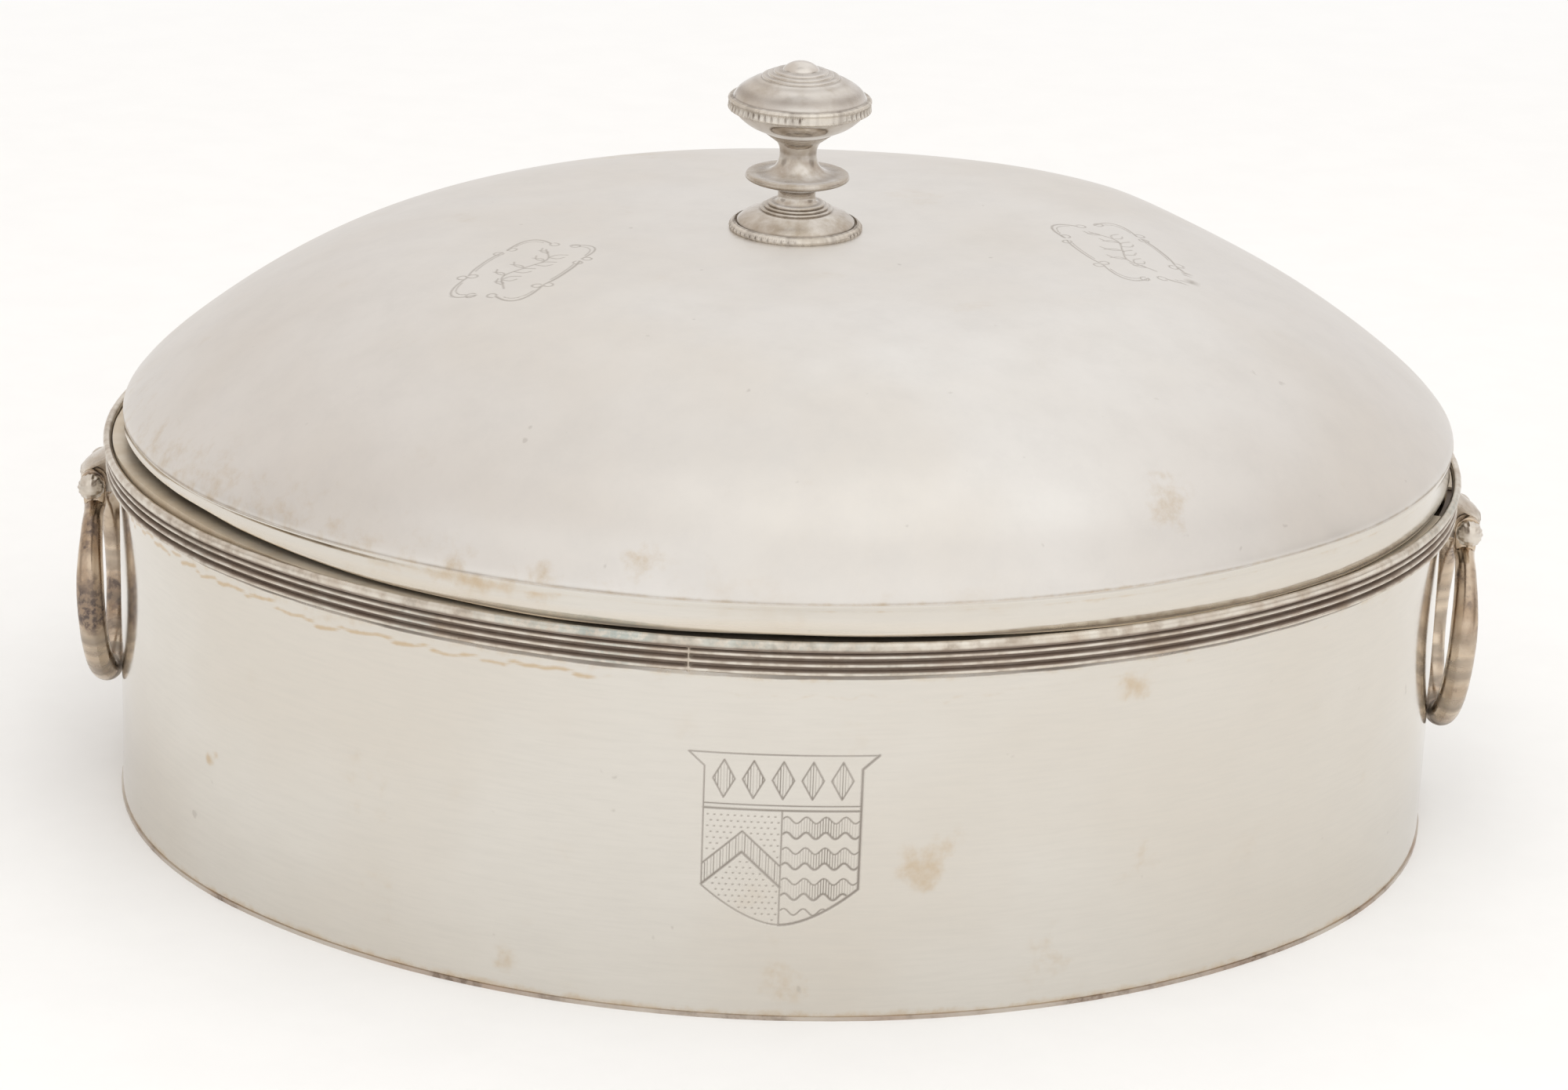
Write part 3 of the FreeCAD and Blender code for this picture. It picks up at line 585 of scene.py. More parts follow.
# radii that turn a length along the plan into a turn: its long sides, its rims, its middle line
SIDE_RADIUS = 253.0
RIM_RADIUS = 230.0
MEAN_RADIUS = 220.0
SHEET = 1.2


def stain_at(points, places, tall=1.0):
    """Soft smudges round places (x, y, z, width, strength), stretched upward by tall."""
    total = np.zeros(points.shape[:-1])
    for x, y, z, width, strength in places:
        distance = np.linalg.norm((points - np.array([x, y, z])) / np.array([1, 1, tall]), axis=-1)
        total = np.maximum(total, strength * hump(distance, width))
    return total


def wall_dents(points):
    """Slow hollows of a beaten sheet, in millimetres outward; never outward past the plan."""
    x, y, z = points[..., 0], points[..., 1], points[..., 2]
    slow = 0.22 * np.sin(x / 31.0 + z / 40.0) + 0.18 * np.sin(y / 27.0 - z / 33.0 + x / 61.0)
    return slow - 0.42


# the smudges on the front first, then those at the back and the ends
WALL_STAINS = (
    (46.6, -190.7, 51.0, 9.5, 0.62), (54.0, -189.0, 59.0, 8.0, 0.40), (-185.4, -114.2, 48.2, 2.6, 0.9),
    (-183.0, -116.5, 51.0, 1.6, 0.7), (-17.0, -194.0, 24.0, 12.0, 0.22), (118.0, -167.0, 45.0, 12.0, 0.28),
    (-84.3, -180.5, 10.6, 7.0, 0.4), (5.2, -194.9, 12.0, 10.0, 0.45), (-125.8, -161.5, 23.5, 14.0, 0.25),
    (-130.0, -158.0, 60.0, 26.0, 0.20), (90.0, -178.0, 18.0, 16.0, 0.3), (113.0, -169.0, 107.0, 7.0, 0.55),
    (150.0, -145.0, 40.0, 30.0, 0.16), (-40.0, 190.0, 60.0, 22.0, 0.4), (60.0, 188.0, 100.0, 12.0, 0.4),
    (-215.0, 40.0, 30.0, 14.0, 0.35), (218.0, 30.0, 90.0, 10.0, 0.3),
)


def make_wall():
    """Straight wall with a shield engraved on the front, tarnish and a painted shade line under the band, and
    tarnish at the foot.
    """
    tip_x, tip_z = 2.6, 32.6
    fine, coarse, depth = 0.28, 3.0, 0.13
    bottom, top, band_foot = wall_low[2], wall_high[2], band_low[2]
    turns = round_turns([(turn_at(-28.5), turn_at(34.5), fine / SIDE_RADIUS)], coarse / MEAN_RADIUS)
    windows = [(31.6, 91.5, fine), (104.0, 114.4, 0.6), (114.4, 117.8, 0.22)]
    levels = steps(bottom, top, windows, coarse)
    outer = sweep([(0, level) for level in levels], turns)
    inner = sweep([(-SHEET, level) for level in levels[::-12]], turns)
    inner[-1, :, 2] = bottom
    # the front only is engraved
    ink = engrave(outer[..., 0] - tip_x, outer[..., 2] - tip_z, SHIELD) * (outer[..., 1] < -100)
    near_edge = unit(np.minimum(levels - bottom, top - levels) / 12.0)[:, None]
    outer = outer + normals(turns) * (wall_dents(outer) * near_edge - depth * ink)[..., None]
    # a tide mark of dried water under the band, strongest left of the middle
    along = turns[None, :] * MEAN_RADIUS
    level = outer[..., 2]
    line = 112.0 + 1.7 * wave(along / 21.0, 3) + 1.0 * wave(along / 3.6, 4) - 3.0 * hump(along + 325, 60)
    run = np.where((turns > -2.85) & (turns < -1.80), 1.0, 0.30)[None, :]
    tide = run * (0.85 * hump(level - line, 0.75) + 0.30 * unit((level - line) / 3.0))
    foot = 0.55 * hump(level - bottom, 1.6) + 0.06 * hump(level - bottom, 7.0)
    under = 0.35 * hump(level - band_foot + 1.6, 1.8)
    stain = unit(np.maximum.reduce([stain_at(outer, WALL_STAINS), tide, foot, under]))
    # under the lowest reed lies one more dark line of tarnish and painted shade, worn thin here and there
    tarnish_and_shade_line = unit((level - band_foot + 2.05 + 0.12 * wave(along / 5.0, 6)) / 0.35)
    tarnish_and_shade_line *= (0.80 + 0.25 * wave(along / 14.0, 5)) * (1 - 0.6 * hump(turns + 1.69, 0.05))
    ink = np.maximum(ink, unit(tarnish_and_shade_line * (level < band_foot + 0.2)))
    marks = {"ink": with_inside(ink, inner, 0.0), "stain": with_inside(stain, inner, 0.25)}
    grid = np.concatenate([outer, inner])
    add_piece("wall_skin", [ring_part(grid)], silver_wall, "tub", "tub_wall", marks)


def make_band():
    """Three rounded reeds on a flat strip, with a soldered seam left of the middle."""
    seam = turn_at(-27.4)
    reeds, ground, half_reed = 3, 2.1, 0.95
    turns = round_turns([(seam - 0.014, seam + 0.014, 0.0009)], 1.6 / RIM_RADIUS)
    bottom, top = band_low[2], band_high[2]
    pitch = (top - bottom) / reeds
    proud = band_high[0] - wall_high[0] - ground
    along = turns * RIM_RADIUS
    solder = hump(turns - seam, 0.0030)
    flat, dark = np.zeros(len(turns)), np.ones(len(turns))
    # each row: how far out it lies all round, its height, and how dark it is all round
    rows = [(flat, bottom, dark), (flat + ground - 0.5, bottom, dark)]
    for reed in range(reeds):
        middle = bottom + pitch * (reed + 0.5)
        filled = unit(0.45 * wave(along / 37.0, 60 + reed) - 0.25)
        dent = 0.14 * np.abs(wave(along / 7.0, 70 + reed)) + 0.10 * wave(along / 41.0, 80 + reed)
        for angle in np.radians(np.linspace(-90, 90, 15)):
            lift = math.cos(angle)
            out = ground + proud * np.maximum(lift * (1 - 0.25 * dent), 0.9 * solder)
            # tarnish and painted shade darken each reed towards the hollows beside it
            tarnish = unit((0.975 - lift) * 6.5 + 0.25 * wave(along / 3.1, 90 + reed))
            worn = (1 - solder) * (1 - 0.7 * filled)
            rows.append((out, middle + half_reed * math.sin(angle), tarnish * worn))
        rows.append((ground + proud * 0.9 * solder, middle + pitch / 2, (1 - solder) * (1 - 0.6 * filled)))
    rows += [(flat + ground - 0.5, top, dark), (flat, top, dark)]
    grid = sweep([(0, height) for _, height, _ in rows], turns)
    grid = grid + normals(turns) * np.array([out for out, _, _ in rows])[..., None]
    marks = {
        "ink": [ink for _, _, ink in rows],
        "stain": all_rows(unit(0.2 + 0.3 * wave(along / 17.0, 13)), rows),
        "green": all_rows(0.6 * unit(wave(along / 19.0, 14) * hump(turns + 1.9, 0.5)), rows),
    }
    add_piece("reed_strip", [ring_part(grid)], silver_reeds, "tub", "reeded_band", marks)


def make_wire():
    """The rounded wire on top of the reeds, dented and worn bright along its crown."""
    turns = round_turns([], 1.6 / RIM_RADIUS)
    along = turns * RIM_RADIUS
    inner, outer = 1.9, wire_high[0] - wall_high[0]
    middle, half = (inner + outer) / 2, (outer - inner) / 2
    foot, top = wire_low[2], wire_high[2]
    rows = [(inner, foot), (inner, foot + 1.4)]
    for angle in np.radians(np.linspace(170, -50, 19)):
        tall = 1.5 if angle > 0 else 1.9
        rows.append((middle + half * math.cos(angle), top - 1.5 + tall * math.sin(angle)))
    rows = np.array(rows + [(outer - 1.0, foot + 0.3), (outer - 1.0, foot)])
    height = (rows[:, 1] - foot)[:, None]
    outside = (rows[:, 0] > middle)[:, None]
    grid = sweep(rows, turns)
    lift = -0.14 + 0.12 * wave(along / 26.0, 21) - 0.10 * np.abs(wave(along / 5.0, 22))
    grid[..., 2] += lift[None, :] * unit(height / 2.0)
    # tarnish and painted shade darken the bead's lower outer side
    low = 0.95 * unit(1.5 - height / 1.05) * outside
    green = unit(0.75 * hump(turns + 1.72, 0.22) + 0.5 * hump(turns + 0.35, 0.15))
    green = unit(green * (0.8 + 0.5 * wave(along / 9.0, 25)))
    marks = {
        "ink": unit(low + 0.10 * wave(along / 12.0, 23)),
        "stain": all_rows(unit(0.30 + 0.12 * wave(along / 3.0, 24)), rows),
        "green": green * unit(height / 1.6),
    }
    add_piece("rim_bead", [ring_part(grid)], silver_reeds, "tub", "rim_wire", marks)


# The food pan

# how far the pan's mouth and foot lie inside the tub's plan, and the radius of its lower corner
PAN_MOUTH, PAN_FOOT, PAN_CORNER = -7.5, -14.5, 14.0


def cut_notch(grid):
    """Draw the flange's edge in where the tub is filled with hot water."""
    lean, half_wide, left_of_flange = math.radians(-14.0), 15.5, 2.0
    reach = HALF_LONG - END_RADIUS
    edge = END_RADIUS + PAN_MOUTH + left_of_flange
    x, y = grid[..., 0] - reach, grid[..., 1]
    out = x * math.cos(lean) + y * math.sin(lean)
    side = y * math.cos(lean) - x * math.sin(lean)
    cut = (np.abs(side) < half_wide) & (out > edge) & (grid[..., 2] > FLANGE_TOP - 1.5)
    pull = np.where(cut, edge - out, 0)
    grid[..., 0] += pull * math.cos(lean)
    grid[..., 1] += pull * math.sin(lean)


def make_pan():
    """Flanged pan with a rounded corner and a notch for filling the tub with hot water."""
    sheet, rim, floor = 1.0, 1.5, pan_low[2]
    low_wall, high_wall = floor + PAN_CORNER + 16, FLANGE_TOP - 20
    bend = [
        (PAN_FOOT - PAN_CORNER * (1 - math.sin(angle)), floor + sheet + PAN_CORNER * (1 - math.cos(angle)))
        for angle in np.radians(np.linspace(90, 0, 9))
    ]
    upper = [(rim, FLANGE_TOP), (PAN_MOUTH + 0.6, FLANGE_TOP), (PAN_MOUTH, FLANGE_TOP - 0.8)]
    upper += [(PAN_MOUTH - 2.0, high_wall), (PAN_FOOT + 1.5, low_wall)] + bend
    under = [
        (out + (sheet if level > floor + 3 else 0), level - (sheet if level < floor + 9 else 0))
        for out, level in bend[::-1]
    ]
    under += [(PAN_FOOT + 2.5, low_wall), (PAN_MOUTH - 1.0, high_wall)]
    under += [(PAN_MOUTH + sheet, FLANGE_TOP - 1.9), (PAN_MOUTH + sheet + 0.6, FLANGE_TOP - sheet)]
    under += [(rim, FLANGE_TOP - sheet)]
    notch_window = (math.radians(-28), math.radians(-1), 0.4 / END_RADIUS)
    turns = round_turns([notch_window], 3.0 / MEAN_RADIUS)
    skins = sweep(under, turns), sweep(upper, turns)
    # the flange's edge is turned up where the cover's strip stands off it, left of the front
    for skin in skins:
        cut_notch(skin)
        bent = 4.0 * hump(turns + 2.58, 0.36) * unit((skin[..., 2] - FLANGE_TOP + 6) / 5)
        if skin is skins[0]:
            bent[-1] *= 0.3
        skin[..., 2] += bent
    inset = PAN_FOOT - PAN_CORNER
    floors = []
    for level in (floor, floor + sheet):
        rows = []
        for share in (0.8, 0.6, 0.4, 0.2, 0.001):
            x, y = oval(turns, (HALF_LONG + inset) * share, (HALF_SHORT + inset) * share)
            rows.append(np.stack([x, y, np.full(len(turns), level)], -1))
        floors.append(np.array(rows))
    grid = np.concatenate([floors[0][::-1], *skins, floors[1]])
    height = grid[..., 2] - FLANGE_TOP
    smudges = [(40, -60, floor, 60, 0.4), (-90, 30, floor, 40, 0.5), (120, 60, floor, 30, 0.45)]
    stain = np.maximum(unit(stain_at(grid, smudges)), hump(height, 2.0) * 0.55)
    film = unit((height + 3.0) / 2.0)
    # painted shade: the middle of the front is darkened where it looks into the dark gap under the cover
    painted_gap_shade = unit((turns + 1.86) / 0.10) * unit((-1.27 - turns) / 0.10)
    ink = film * painted_gap_shade * 0.9
    film = film * (1 - painted_gap_shade)
    # the turned-up lip is brown with old polish
    lip = hump(turns + 2.55, 0.50)
    stain = np.maximum(stain, 0.75 * lip * film)
    film = film * (1 - 0.55 * lip)
    add_piece("pan_skin", [capped_part(grid)], silver_inside, "pan", "food_pan", {
        "stain": capped_marks(stain, 0.4, 0.4), "film": capped_marks(film, 0.0, 0.0),
        "ink": capped_marks(ink, 0.0, 0.0),
    })


# The cover

# how much the cover rises per length to the right, and how far its edge lies inside the plan
TILT = 0.0073
COVER_INSET = 0.6
# the dome from its crease to its crown: how high it is, how far it reaches along and across
RISE_SHARES = (0.0, 0.14, 0.34, 0.56, 0.76, 0.90, 0.97, 1.0)
LONG_SHARES = (1.0, 0.967, 0.897, 0.804, 0.694, 0.565, 0.385, 0.0)
SIDE_SHARES = (1.0, 0.985, 0.968, 0.912, 0.798, 0.655, 0.455, 0.0)


def dome_profile(at):
    """Long share, side share and rise share of the dome, at shares of its way up."""
    long, side, rise = 229, 195, 64
    span = np.array([long, side, CROWN - CREASE])
    raw = curve(np.stack([LONG_SHARES, SIDE_SHARES, RISE_SHARES], -1) * span, 600)
    # the curve is drawn on past the crown, so that smoothing keeps it level there
    beyond = raw[-2::-1] * np.array([-1, -1, 1])
    before = raw[0] - (raw[1:60] - raw[0])[::-1] * np.array([-1, -1, 1])
    whole = np.concatenate([before, raw, beyond[:120]])
    window = np.hanning(61) / np.hanning(61).sum()
    smooth = np.stack([np.convolve(whole[:, axis], window, "same") for axis in range(3)], -1)
    smooth = smooth[len(before):len(before) + len(raw)]
    smooth[:, 2] -= smooth[0, 2]
    smooth /= np.array([smooth[0, 0], smooth[0, 1], smooth[-1, 2]])
    smooth[-1, :2] = 0
    pieces = np.linalg.norm(np.diff(smooth * np.array([long, side, rise]), axis=0), axis=1)
    lengths = np.concatenate([[0], np.cumsum(pieces)])
    return np.stack([np.interp(at * lengths[-1], lengths, smooth[:, axis]) for axis in range(3)], -1)


def dome_grid(levels, turns, sheet):
    """The dome's outer skin, or its inner one a sheet lower, with its tilt and its dents."""
    shares = dome_profile(levels)
    half_long = (HALF_LONG - COVER_INSET - sheet) * np.maximum(shares[:, 0], 2e-3)[:, None]
    half_short = (HALF_SHORT - COVER_INSET - sheet) * np.maximum(shares[:, 1], 2e-3)[:, None]
    x, y = oval(turns[None, :], half_long, half_short)
    rise = (CROWN - CREASE - sheet) * shares[:, 2][:, None]
    grid = np.stack([x + SHIFT, y, CREASE + rise + TILT * x], -1)
    across, ahead = grid[..., 0], grid[..., 1]
    # the sheet stands fuller right of the middle and falls off short beyond it; the rest is
    # slowly uneven
    beyond = np.where(across > 112, 27, 78)
    full = 3.2 * hump(across - 112, beyond) * hump(ahead - 80, 85)
    full -= 0.5 * hump(np.hypot(across + 70, ahead - 95), 50)
    slow = 0.35 * np.sin(across / 37 + 1) * np.sin(ahead / 31) - 0.35
    near_knob = unit((np.hypot(across - SHIFT, ahead) - 22) / 30)
    grid[..., 2] += (slow + full) * unit(shares[:, 2] * 6)[:, None] * near_knob
    return grid


# middle x, middle y and turn in degrees of the two engraved frames
CARTOUCHES = ((-88.0, -48.0, 66.0), (112.0, -8.0, 114.0))
DOME_STAINS = (
    (119.4, -153.5, 162.7, 10.0, 0.50), (124.0, -158.0, 158.0, 6.0, 0.5), (116.0, -146.0, 168.0, 6.0, 0.45),
    (-42.6, -186.8, 149.4, 8.0, 0.45), (-48.0, -186.0, 143.0, 3.0, 0.6), (-90.0, -171.0, 149.0, 5.0, 0.16),
    (-101.0, -172.0, 140.0, 5.5, 0.55), (-74.0, -181.0, 141.0, 6.0, 0.55), (-20.0, -26.0, 202.0, 9.0, 0.22),
    (43.0, -6.0, 203.0, 1.2, 0.9), (-150.0, -110.0, 150.0, 22.0, 0.2), (30.0, -186.0, 145.0, 18.0, 0.2),
    (-60.0, 120.0, 190.0, 30.0, 0.3), (140.0, 90.0, 165.0, 24.0, 0.3),
)


def make_dome():
    """The raised cover, with two scrolled frames engraved on it."""
    depth = 0.10
    # the turns that the frames lie at, with the radius at which a fine step is taken
    windows = [
        (math.radians(start), math.radians(stop), 0.42 / radius)
        for start, stop, radius in ((-178, -112, 105), (-26, 22, 110))
    ]
    turns = round_turns(windows, 2.6 / 190)
    # close rows at the fold, over the engraving and at the crown
    levels = np.unique(np.concatenate([
        np.linspace(*stretch)
        for stretch in ((0, 0.012, 9), (0.012, 0.04, 6), (0.04, 1, 70), (0.42, 0.80, 215), (0.98, 1, 4))
    ]))
    outer = dome_grid(levels, turns, 0.0)
    normal = np.cross(np.gradient(outer, axis=0), np.roll(outer, -1, 1) - np.roll(outer, 1, 1))
    normal /= np.linalg.norm(normal, axis=-1, keepdims=True) + 1e-12
    normal *= np.sign(normal[..., 2:3] + 1e-9)
    ink = np.zeros(outer.shape[:2])
    for middle_x, middle_y, turned in CARTOUCHES:
        lean = math.radians(turned)
        x, y = outer[..., 0] - middle_x, outer[..., 1] - middle_y
        along = x * math.cos(lean) + y * math.sin(lean)
        across = y * math.cos(lean) - x * math.sin(lean)
        ink = np.maximum(ink, engrave(along, across, SCROLLS))
    outer = outer - normal * (depth * ink)[..., None]
    # the outer skin starts where the inner one ends, at the crease
    inner = dome_grid(np.linspace(1, 0, 46), turns, SHEET)[1:]
    above = outer[..., 2] - TILT * outer[..., 0] - CREASE
    # painted reflection: the lower dome is tinted warm beige towards the crease, most at the left, carried as
    # a stain
    painted_low_reflection = (0.15 + 0.20 * hump(turns + 2.5, 0.6)) * unit(1 - (outer[..., 2] - CREASE) / 30.0)
    stain = np.maximum.reduce([stain_at(outer, DOME_STAINS), 0.5 * hump(above, 1.2), painted_low_reflection])
    # painted shade darkens the fold, less in the middle of the front, where it catches the light
    rubbed = 1 - 0.55 * hump(turns + 1.40, 0.50)
    fold = hump(above - 0.45, 0.38) * rubbed * (0.75 + 0.25 * wave(turns * 30, 33))
    ink = 0.75 * np.maximum(ink, unit(fold))
    stain, ink = (
        capped_marks(np.concatenate([np.full(inner.shape[:2], inside), mark]), start, 0.0)
        for mark, inside, start in ((stain, 0.35, 0.3), (ink, 0.0, 0.0))
    )
    grid = np.concatenate([inner, outer])
    add_piece("dome_skin", [capped_part(grid)], silver_dome, "cover", "cover_dome",
              {"stain": stain, "ink": ink})


# How far the bezel stands off the pan's flange at a turn: most at the left end, next at the
# middle of the front, and again short of the right end
BEZEL_LIFTS = (
    (-3.15, 4.6), (-2.90, 6.2), (-2.70, 6.9), (-2.45, 6.6), (-2.30, 4.9), (-2.10, 2.3), (-1.86, 1.1),
    (-1.57, 2.7), (-1.35, 2.1), (-1.15, 0.7), (-0.76, 0.5), (-0.50, 2.2), (-0.28, 3.8), (0.0, 1.4),
    (3.15, 2.0),
)
# The bezel's section as (out, share of its height): a flat strip with a fold at its top
BEZEL_FACE = (
    (-1.0, 0.0), (-0.9, 0.05), (-1.02, 0.12), (-1.1, 0.5), (-1.0, 0.72), (-0.92, 0.80), (-0.76, 0.87),
    (-0.66, 0.93), (-0.68, 0.97), (-0.8, 1.0),
)
BEZEL_BACK = ((-2.0, 1.0), (-2.2, 0.5), (-2.2, 0.03), (-2.0, 0.0))
BEZEL_STAINS = (
    (-95.7, -174.9, 136.5, 22.0, 0.65), (-76.0, -181.0, 135.0, 9.0, 0.85), (-126.0, -161.0, 135.0, 10.0, 0.5),
    (40.0, -193.0, 130.0, 20.0, 0.25), (82.0, -180.0, 136.0, 3.0, 0.7), (96.0, -175.0, 137.0, 3.0, 0.6),
    (180.0, -118.0, 136.0, 14.0, 0.35),
)


def make_bezel():
    """The upright strip under the crease, its lower edge uneven with use."""
    turns = round_turns([], 2.0 / RIM_RADIUS)
    along = turns * 225
    x_edge, _ = plan(turns, -1.0)
    lift = np.interp(turns, *zip(*BEZEL_LIFTS))
    window = np.hanning(19) / np.hanning(19).sum()
    lift = np.convolve(np.concatenate([lift[-9:], lift, lift[:9]]), window, "valid")
    foot = FLANGE_TOP + np.clip(lift + 0.25 * wave(along / 60.0, 31), 0.05, 7.6)
    crease = CREASE + TILT * x_edge - 0.05
    rows = BEZEL_FACE + BEZEL_BACK
    shares = np.array([share for _, share in rows])[:, None]
    grid = sweep([(out, 0) for out, _ in rows], turns, SHIFT)
    grid[..., 2] = foot * (1 - shares) + crease * shares
    bow = 0.35 * np.sin(along / 23.0 + 0.7) * np.sin(shares * math.pi)
    grid = grid + normals(turns) * bow[..., None]
    # painted shade: a faint dark line under the bead below the fold; the lower edge is darker too
    edges = 0.3 * hump(shares, 0.02) + 0.35 * hump(shares - 0.79, 0.04)
    stain = unit(np.maximum(stain_at(grid, BEZEL_STAINS, 0.16), edges))
    stain[len(BEZEL_FACE):] = 0.7
    # dried polish lies low on the strip; right of the middle it is wiped to a thin line, and
    # at the left it is brown
    film = 0.75 * unit(1 - shares / 0.35) * np.ones(len(turns))
    wiped = unit((turns + 1.60) / 0.30) * (turns < 0)
    film = film * (1 - 0.7 * wiped * unit(shares / 0.12))
    brown = hump(turns + 2.45, 0.5) * unit(1 - shares / 0.30)
    stain = np.maximum(stain, 0.6 * brown)
    film = film * (1 - 0.8 * brown)
    add_piece("bezel_strip", [ring_part(grid)], silver_wall, "cover", "cover_bezel",
              {"stain": stain, "film": film})


# The knob

BASE = (SHIFT, 0.0, CROWN)


def turned_piece(name, profile, count, node, groove_and_shade_marks, worn):
    """A turned solid from a profile that starts and ends on its axis, stained as far as worn
    says, with dark marks at (radius, height, width, strength): narrow ones in its turned hollows, broad ones
    painted shade and painted reflection."""
    grid = lathe(profile, count, BASE)
    across, ahead = grid[..., 0] - BASE[0], grid[..., 1] - BASE[1]
    radius, height = np.hypot(across, ahead), grid[..., 2] - BASE[2]
    shade = np.zeros(radius.shape)
    for at_radius, at_height, width, strength in groove_and_shade_marks:
        distance = np.hypot(radius - at_radius, height - at_height)
        shade = np.maximum(shade, strength * hump(distance, width))
    shade = unit(shade * (0.85 + 0.25 * wave(np.arctan2(ahead, across) * 4.0, 50)))
    ink = capped_marks(shade, shade[0].mean(), shade[-1].mean())
    add_piece(name, [capped_part(grid)], silver_knob, "cover", node,
              {"ink": ink, "stain": np.full(len(ink), worn)}, sharp=50)


def stepped(start_radius, start_height, step, rise, count):
    """Rounded mouldings that climb inward one after the other."""
    points = []
    bead = rise * 0.52
    for number in range(count):
        radius = start_radius - step * number
        height = start_height + rise * number
        for angle in np.radians([-50, -20, 10, 40, 70, 100]):
            points.append((radius - bead + bead * math.cos(angle), height + bead + bead * math.sin(angle)))
        points.append((radius - step + bead * 0.5, height + rise * 0.96))
    return points


def stamps(count, level, tall, plain):
    """Where small upright leaves are stamped round a border: their pattern, 0 to 1, at a turn
    and a height. They are worn away inside the plain stretches (middle, half width)."""
    def pattern(turns, height):
        worn = 0.75 + 0.35 * wave(turns * 5.0, 47)
        for middle, half in plain:
            away = np.abs((turns - middle + math.pi) % (2 * math.pi) - math.pi)
            worn = worn * np.clip((away - half) / 0.06, 0.05, 1)
        cell = (turns * count / 2 / math.pi) % 1.0
        leaf = hump(cell - 0.5, 0.20) * hump(height - level, tall)
        curl = 0.7 * hump(np.abs(cell - 0.5) - 0.34, 0.10) * hump(height - level - 0.55 * tall, 0.45 * tall)
        return unit(worn) * np.maximum(leaf, curl)
    return pattern


def stamped_ring(name, profile, columns, pattern, depth, face, node):
    """A stamped border turned about the knob's axis; only what lies outside the face is cut."""
    turns = np.arange(columns) * 2 * math.pi / columns
    out, height = (np.array(profile, float)[:, axis][:, None] for axis in (0, 1))
    outside = unit((out - face) / 0.4)
    cut = pattern(turns[None, :], height) * outside
    crust = 0.10 * np.abs(wave(turns * 23.0, 48)) * outside
    radius = out - depth * cut - crust
    grid = np.stack([
        BASE[0] + radius * np.cos(turns), BASE[1] + radius * np.sin(turns), BASE[2] + height + 0 * turns,
    ], -1)
    hollow = np.where(out < face + 0.3, 0.55, 0.10)
    ink = unit(np.maximum(cut * 1.1, hollow + 0.25 * wave(turns * 9.0, 49)))
    add_piece(name, [ring_part(grid)], silver_dark, "cover", node, {"ink": ink}, sharp=60)


# the turn that looks to the engraved front
FRONT = -math.pi / 2


def make_foot():
    """The knob's foot, with three mouldings on it and a stamped border round it."""
    bell = curve([(19.9, 2.8), (18.4, 4.0), (16.3, 5.15), (14.2, 6.0), (12.5, 6.45)], 20)
    foot = [(0, 0), (20.4, 0), (20.9, 0.4), (20.9, 1.5), (20.3, 1.75), (20.2, 2.1), *bell]
    foot += stepped(12.4, 6.45, 1.35, 0.85, 3) + [(8.2, 9.0), (0, 9.0)]
    # a stain of 0.50 on the foot is partly a painted reflection of the collar above it
    turned_piece("foot_turning", foot, 128, "knob_foot", [
        (20.3, 1.9, 0.40, 0.9), (12.5, 6.45, 0.30, 0.7), (11.1, 7.35, 0.26, 0.7), (9.75, 8.2, 0.26, 0.7),
        (8.3, 8.95, 0.35, 0.6),
    ], 0.50)
    border = curve([(21.9, -0.7), (22.6, -0.1), (22.8, 0.6), (22.4, 1.35), (21.7, 1.95), (20.95, 2.3)], 22)
    plain = ((FRONT + 0.45, 0.42), (FRONT + 2.9, 0.3))
    stamped_ring("foot_border_ring", [*border, (20.9, 2.3), (20.9, -0.7)], 812,
                 stamps(58, 0.7, 0.75, plain), 0.45, 21.2, "knob_foot_border")


def make_stem():
    """The stem: a waist, the collar, a longer waist and four fine mouldings under the bowl."""
    low_waist = [(8.0, 9.05), (7.0, 9.5), (6.5, 10.6), (6.4, 12.2), (7.0, 13.6), (8.8, 14.6)]
    collar = [
        (10.4, 14.9), (12.4, 15.5), (14.8, 16.3), (16.8, 17.0), (17.65, 17.6), (17.7, 18.3), (17.3, 18.95),
        (16.2, 19.2), (13.4, 19.0), (11.0, 19.3),
    ]
    waist = [(9.4, 19.9), (7.9, 21.2), (6.9, 23.0), (6.35, 25.2), (6.3, 27.2), (6.9, 29.2), (7.9, 30.6)]
    stem = [(0, 9.0), *curve(low_waist, 22), *curve(collar, 34), *curve(waist, 28), (8.15, 30.75)]
    for number in range(4):
        radius = 8.2 + 0.86 * number
        height = 30.85 + 0.64 * number
        stem += [(radius + 0.3, height), (radius + 0.62, height + 0.28), (radius + 0.66, height + 0.55)]
    stem += [(11.6, 33.4), (0, 33.4)]
    # the broad marks under the collar, on its top and at the waist are painted shade under the collar and the
    # bowl; the narrow ones darken the hollows
    turned_piece("stem_turning", stem, 112, "knob_stem", [
        (7.9, 9.2, 0.5, 0.55), (8.2, 14.2, 1.8, 0.65), (6.4, 26.4, 1.6, 0.35), (17.2, 17.2, 0.55, 0.75),
        (15.0, 16.4, 0.4, 0.3), (12.6, 19.2, 2.6, 0.50), (8.2, 30.8, 0.28, 0.6), (9.05, 31.4, 0.22, 0.6),
        (9.9, 32.1, 0.22, 0.6), (10.8, 32.7, 0.22, 0.6), (11.5, 33.3, 0.3, 0.5),
    ], 0.55)


